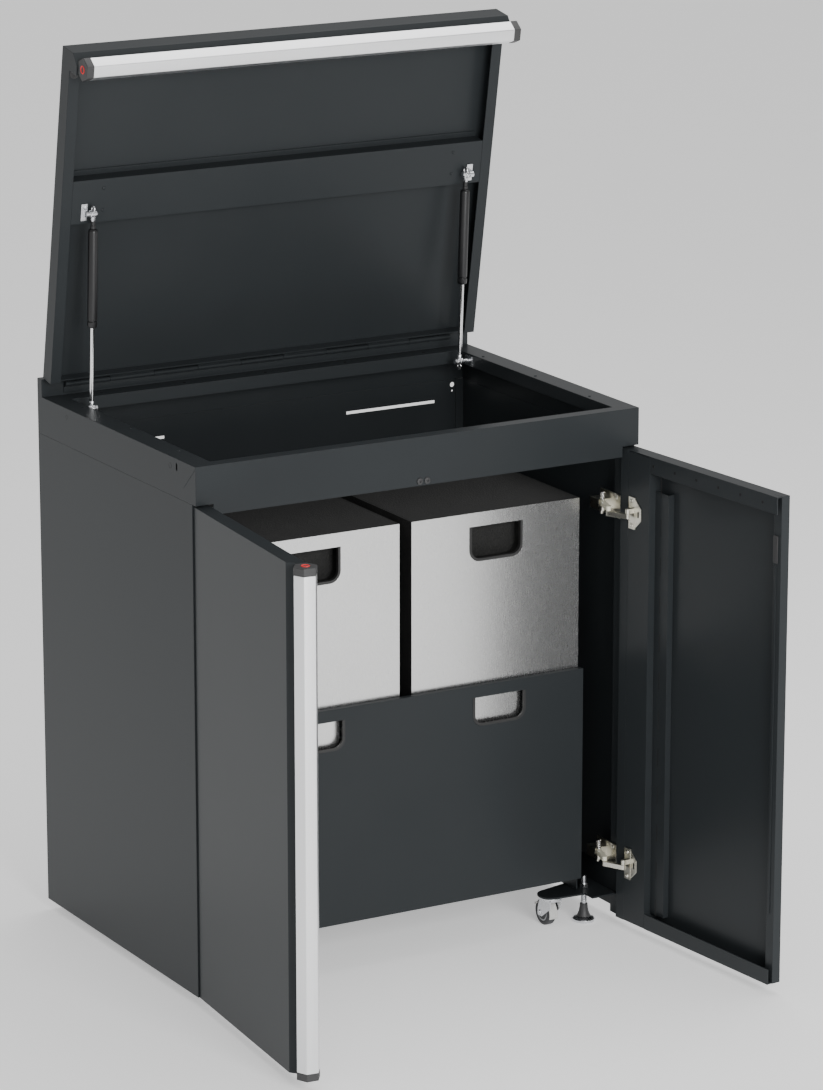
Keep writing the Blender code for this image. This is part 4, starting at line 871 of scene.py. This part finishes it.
def make_foot_details(end, side):
    """The stud's two nuts, its thread and the tapered neck over the disc."""
    where = f"{end}_{side}"
    low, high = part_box(f"levelling_foot_{where}")
    centre = (low + high) / 2
    foot = f"levelling_foot_{where}"
    hexagon = arc((0, 0), NUT_RADIUS, 0, 300, 6)
    for label, height in (("lock", CORNER_PLATE_LOW - 0.0090), ("upper", CORNER_PLATE_LOW + 0.0034)):
        place = Matrix.Translation((centre.x, centre.y, height))
        extruded(f"foot_nut_{label}_{where}", hexagon, NUT_HEIGHT, place, ZINC, foot, bevel=0.0007)
    thread = helix(THREAD_RADIUS, THREAD_HEIGHT, THREAD_TURNS, 12)
    place = Matrix.Translation((centre.x, centre.y, THREAD_LOW))
    wire(f"foot_thread_{where}", thread, THREAD_WIRE, place, ZINC, foot)
    neck = [(0.0125, 0.0098), (0.0120, 0.0125), (0.0092, 0.0190), (0.0078, 0.0270)]
    neck += [(0.0072, 0.0340), (0.0052, 0.0348)]
    place = Matrix.Translation((centre.x, centre.y, 0))
    lathed(f"foot_neck_{where}", neck, place, CAP_BLACK, foot, 32)


# ---- bins and carrier ----
def handle_points(width, height, radius):
    """A flat-topped opening with round lower corners, hung from its top edge."""
    points = [(-width / 2, 0.0)]
    points += arc((-width / 2 + radius, -height + radius), radius, 180, 270, 8)
    points += arc((width / 2 - radius, -height + radius), radius, 270, 360, 8)
    return points + [(width / 2, 0.0)]


def make_handle(name, x, face, top, height, rides, cup):
    """The U-shaped edging of a hand opening, with a closed cup behind it on a bin."""
    outline = handle_points(HANDLE_WIDTH - 0.0004, height - 0.0002, HANDLE_RADIUS)
    inside = handle_points(HANDLE_WIDTH - 2 * BAND_WIDTH, height - BAND_WIDTH, HANDLE_RADIUS - BAND_WIDTH)
    place = Matrix.Translation((x, face, top)) @ Matrix.Rotation(QUARTER, 4, "X")
    depth = CUP_FRONT if cup else CUP_FRONT / 2
    behind = place @ Matrix.Translation((0, 0, -depth))
    band = outline + inside[::-1]
    extruded(f"{name}_edging", band, depth + BAND_PROUD, behind, TRIM_GREY, rides)
    if cup:
        body = bmesh.new()
        front = [body.verts.new((px, py, -CUP_FRONT)) for px, py in outline]
        rear = [body.verts.new((px * 1.02, py * 1.02 + 0.001, -CUP_DEPTH)) for px, py in outline]
        for index, corner in enumerate(front):
            after = (index + 1) % len(front)
            body.faces.new((corner, front[after], rear[after], rear[index]))
        body.faces.new(rear)
        cup_piece = finish_piece(f"{name}_cup", body, place, GRAINED, rides)
        wall = cup_piece.modifiers.new("cup_wall", "SOLIDIFY")
        wall.thickness = CUP_WALL
        wall.offset = 1.0


def make_bin_details(side):
    low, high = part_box(f"bin_face_{side}")
    x = (low.x + high.x) / 2
    top = high.z - BIN_HANDLE_DROP
    make_handle(f"bin_handle_{side}", x, low.y, top, BIN_HANDLE_HEIGHT, f"bin_{side}", True)
    low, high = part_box("carrier_front")
    top = high.z - CARRIER_HANDLE_DROP
    make_handle(f"carrier_handle_{side}", x, low.y, top, CARRIER_HANDLE_HEIGHT, "carrier", False)


def make_slide_members():
    """The carrier slides' middle members, set between the fixed channel and the carrier."""
    low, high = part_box("carrier_tray")
    for side, sign in SIDES.items():
        edge = high.x * sign - sign * 0.0045
        body = bmesh.new()
        start = low.y + 0.062
        rings = []
        section = rounded_polygon(rectangle(*SLIDE_SECTION), 0.0010, 3)
        for index in range(SLIDE_STEPS + 1):
            y = start + SLIDE_LENGTH * index / SLIDE_STEPS
            rings.append([body.verts.new((edge + px, y, SLIDE_HEIGHT + pz)) for px, pz in section])
        for near, far in zip(rings, rings[1:]):
            for index, corner in enumerate(near):
                after = (index + 1) % len(near)
                body.faces.new((corner, near[after], far[after], far[index]))
        body.faces.new(rings[0])
        body.faces.new(rings[-1])
        bmesh.ops.recalc_face_normals(body, faces=body.faces)
        mesh = bpy.data.meshes.new(f"slide_member_{side}")
        body.to_mesh(mesh)
        body.free()
        piece = bpy.data.objects.new(f"slide_member_{side}", mesh)
        bpy.context.collection.objects.link(piece)
        mesh.materials.append(ZINC)
        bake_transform(piece)


# ---- the stage ----
def make_floor():
    floor = Finish("studio_floor", Roughness=0.9, Emission_Color=(1, 1, 1, 1), Emission_Strength=0.46)
    floor.tint(floor.noise(3.0, 2.0), (0.86, 0.86, 0.86), (0.90, 0.90, 0.90))
    mesh = bpy.data.meshes.new("studio_floor")
    half = FLOOR_SIZE / 2
    corners = [(-half, -half, 0), (half, -half, 0), (half, half, 0), (-half, half, 0)]
    mesh.from_pydata(corners, [], [(0, 1, 2, 3)])
    mesh.materials.append(floor.material)
    plane = bpy.data.objects.new("studio_floor", mesh)
    plane.location.z = -FLOOR_DROP
    bpy.context.collection.objects.link(plane)


def softbox(name, place, target, size, power):
    light = bpy.data.lights.new(name, "AREA")
    light.shape = "RECTANGLE"
    light.size, light.size_y = size
    light.energy = power
    lamp = bpy.data.objects.new(name, light)
    bpy.context.collection.objects.link(lamp)
    lamp.location = place
    lamp.rotation_euler = (Vector(target) - Vector(place)).to_track_quat("-Z", "Y").to_euler()


def make_lights():
    world = bpy.data.worlds.new("studio_room")
    bpy.context.scene.world = world
    world.use_nodes = True
    room = world.node_tree.nodes["Background"]
    room.inputs["Color"].default_value = (1.0, 1.0, 1.0, 1)
    room.inputs["Strength"].default_value = WORLD_STRENGTH
    for name, place, size, power in SOFTBOXES:
        softbox(name, place, LIGHT_TARGET, size, power)


def make_camera():
    """Above and to the left of the chest's front, with a long lens."""
    camera = bpy.data.cameras.new("studio_camera")
    camera.sensor_fit = "HORIZONTAL"
    camera.sensor_width = SENSOR_WIDTH
    camera.lens = CAMERA_LENS
    camera.clip_end = 100.0
    eye = bpy.data.objects.new("studio_camera", camera)
    bpy.context.collection.objects.link(eye)
    x, before_front, height = CAMERA_PLACE
    eye.location = (x, FRONT + before_front, height)
    eye.rotation_euler = (math.radians(CAMERA_TILT), 0, math.radians(CAMERA_TURN))
    bpy.context.scene.camera = eye


make_bar("lid_grip", "lid_bar", LID_OPEN, 0, LID_BAR_SILVER, "lid")
make_bar("door_grip", "door_bar", DOOR_OPEN["left"], 2, BAR_SILVER, "door_left")
make_frame_details()
make_lid_details()
for side in SIDES:
    make_door_details(side)
    make_strut_details(side)
    make_bin_details(side)
    for level in ("lower", "upper"):
        make_hinge_details(side, level)
    for end in ENDS:
        make_caster_details(end, side)
        make_foot_details(end, side)
make_slide_members()
make_floor()
make_lights()
make_camera()

bpy.context.view_layer.update()
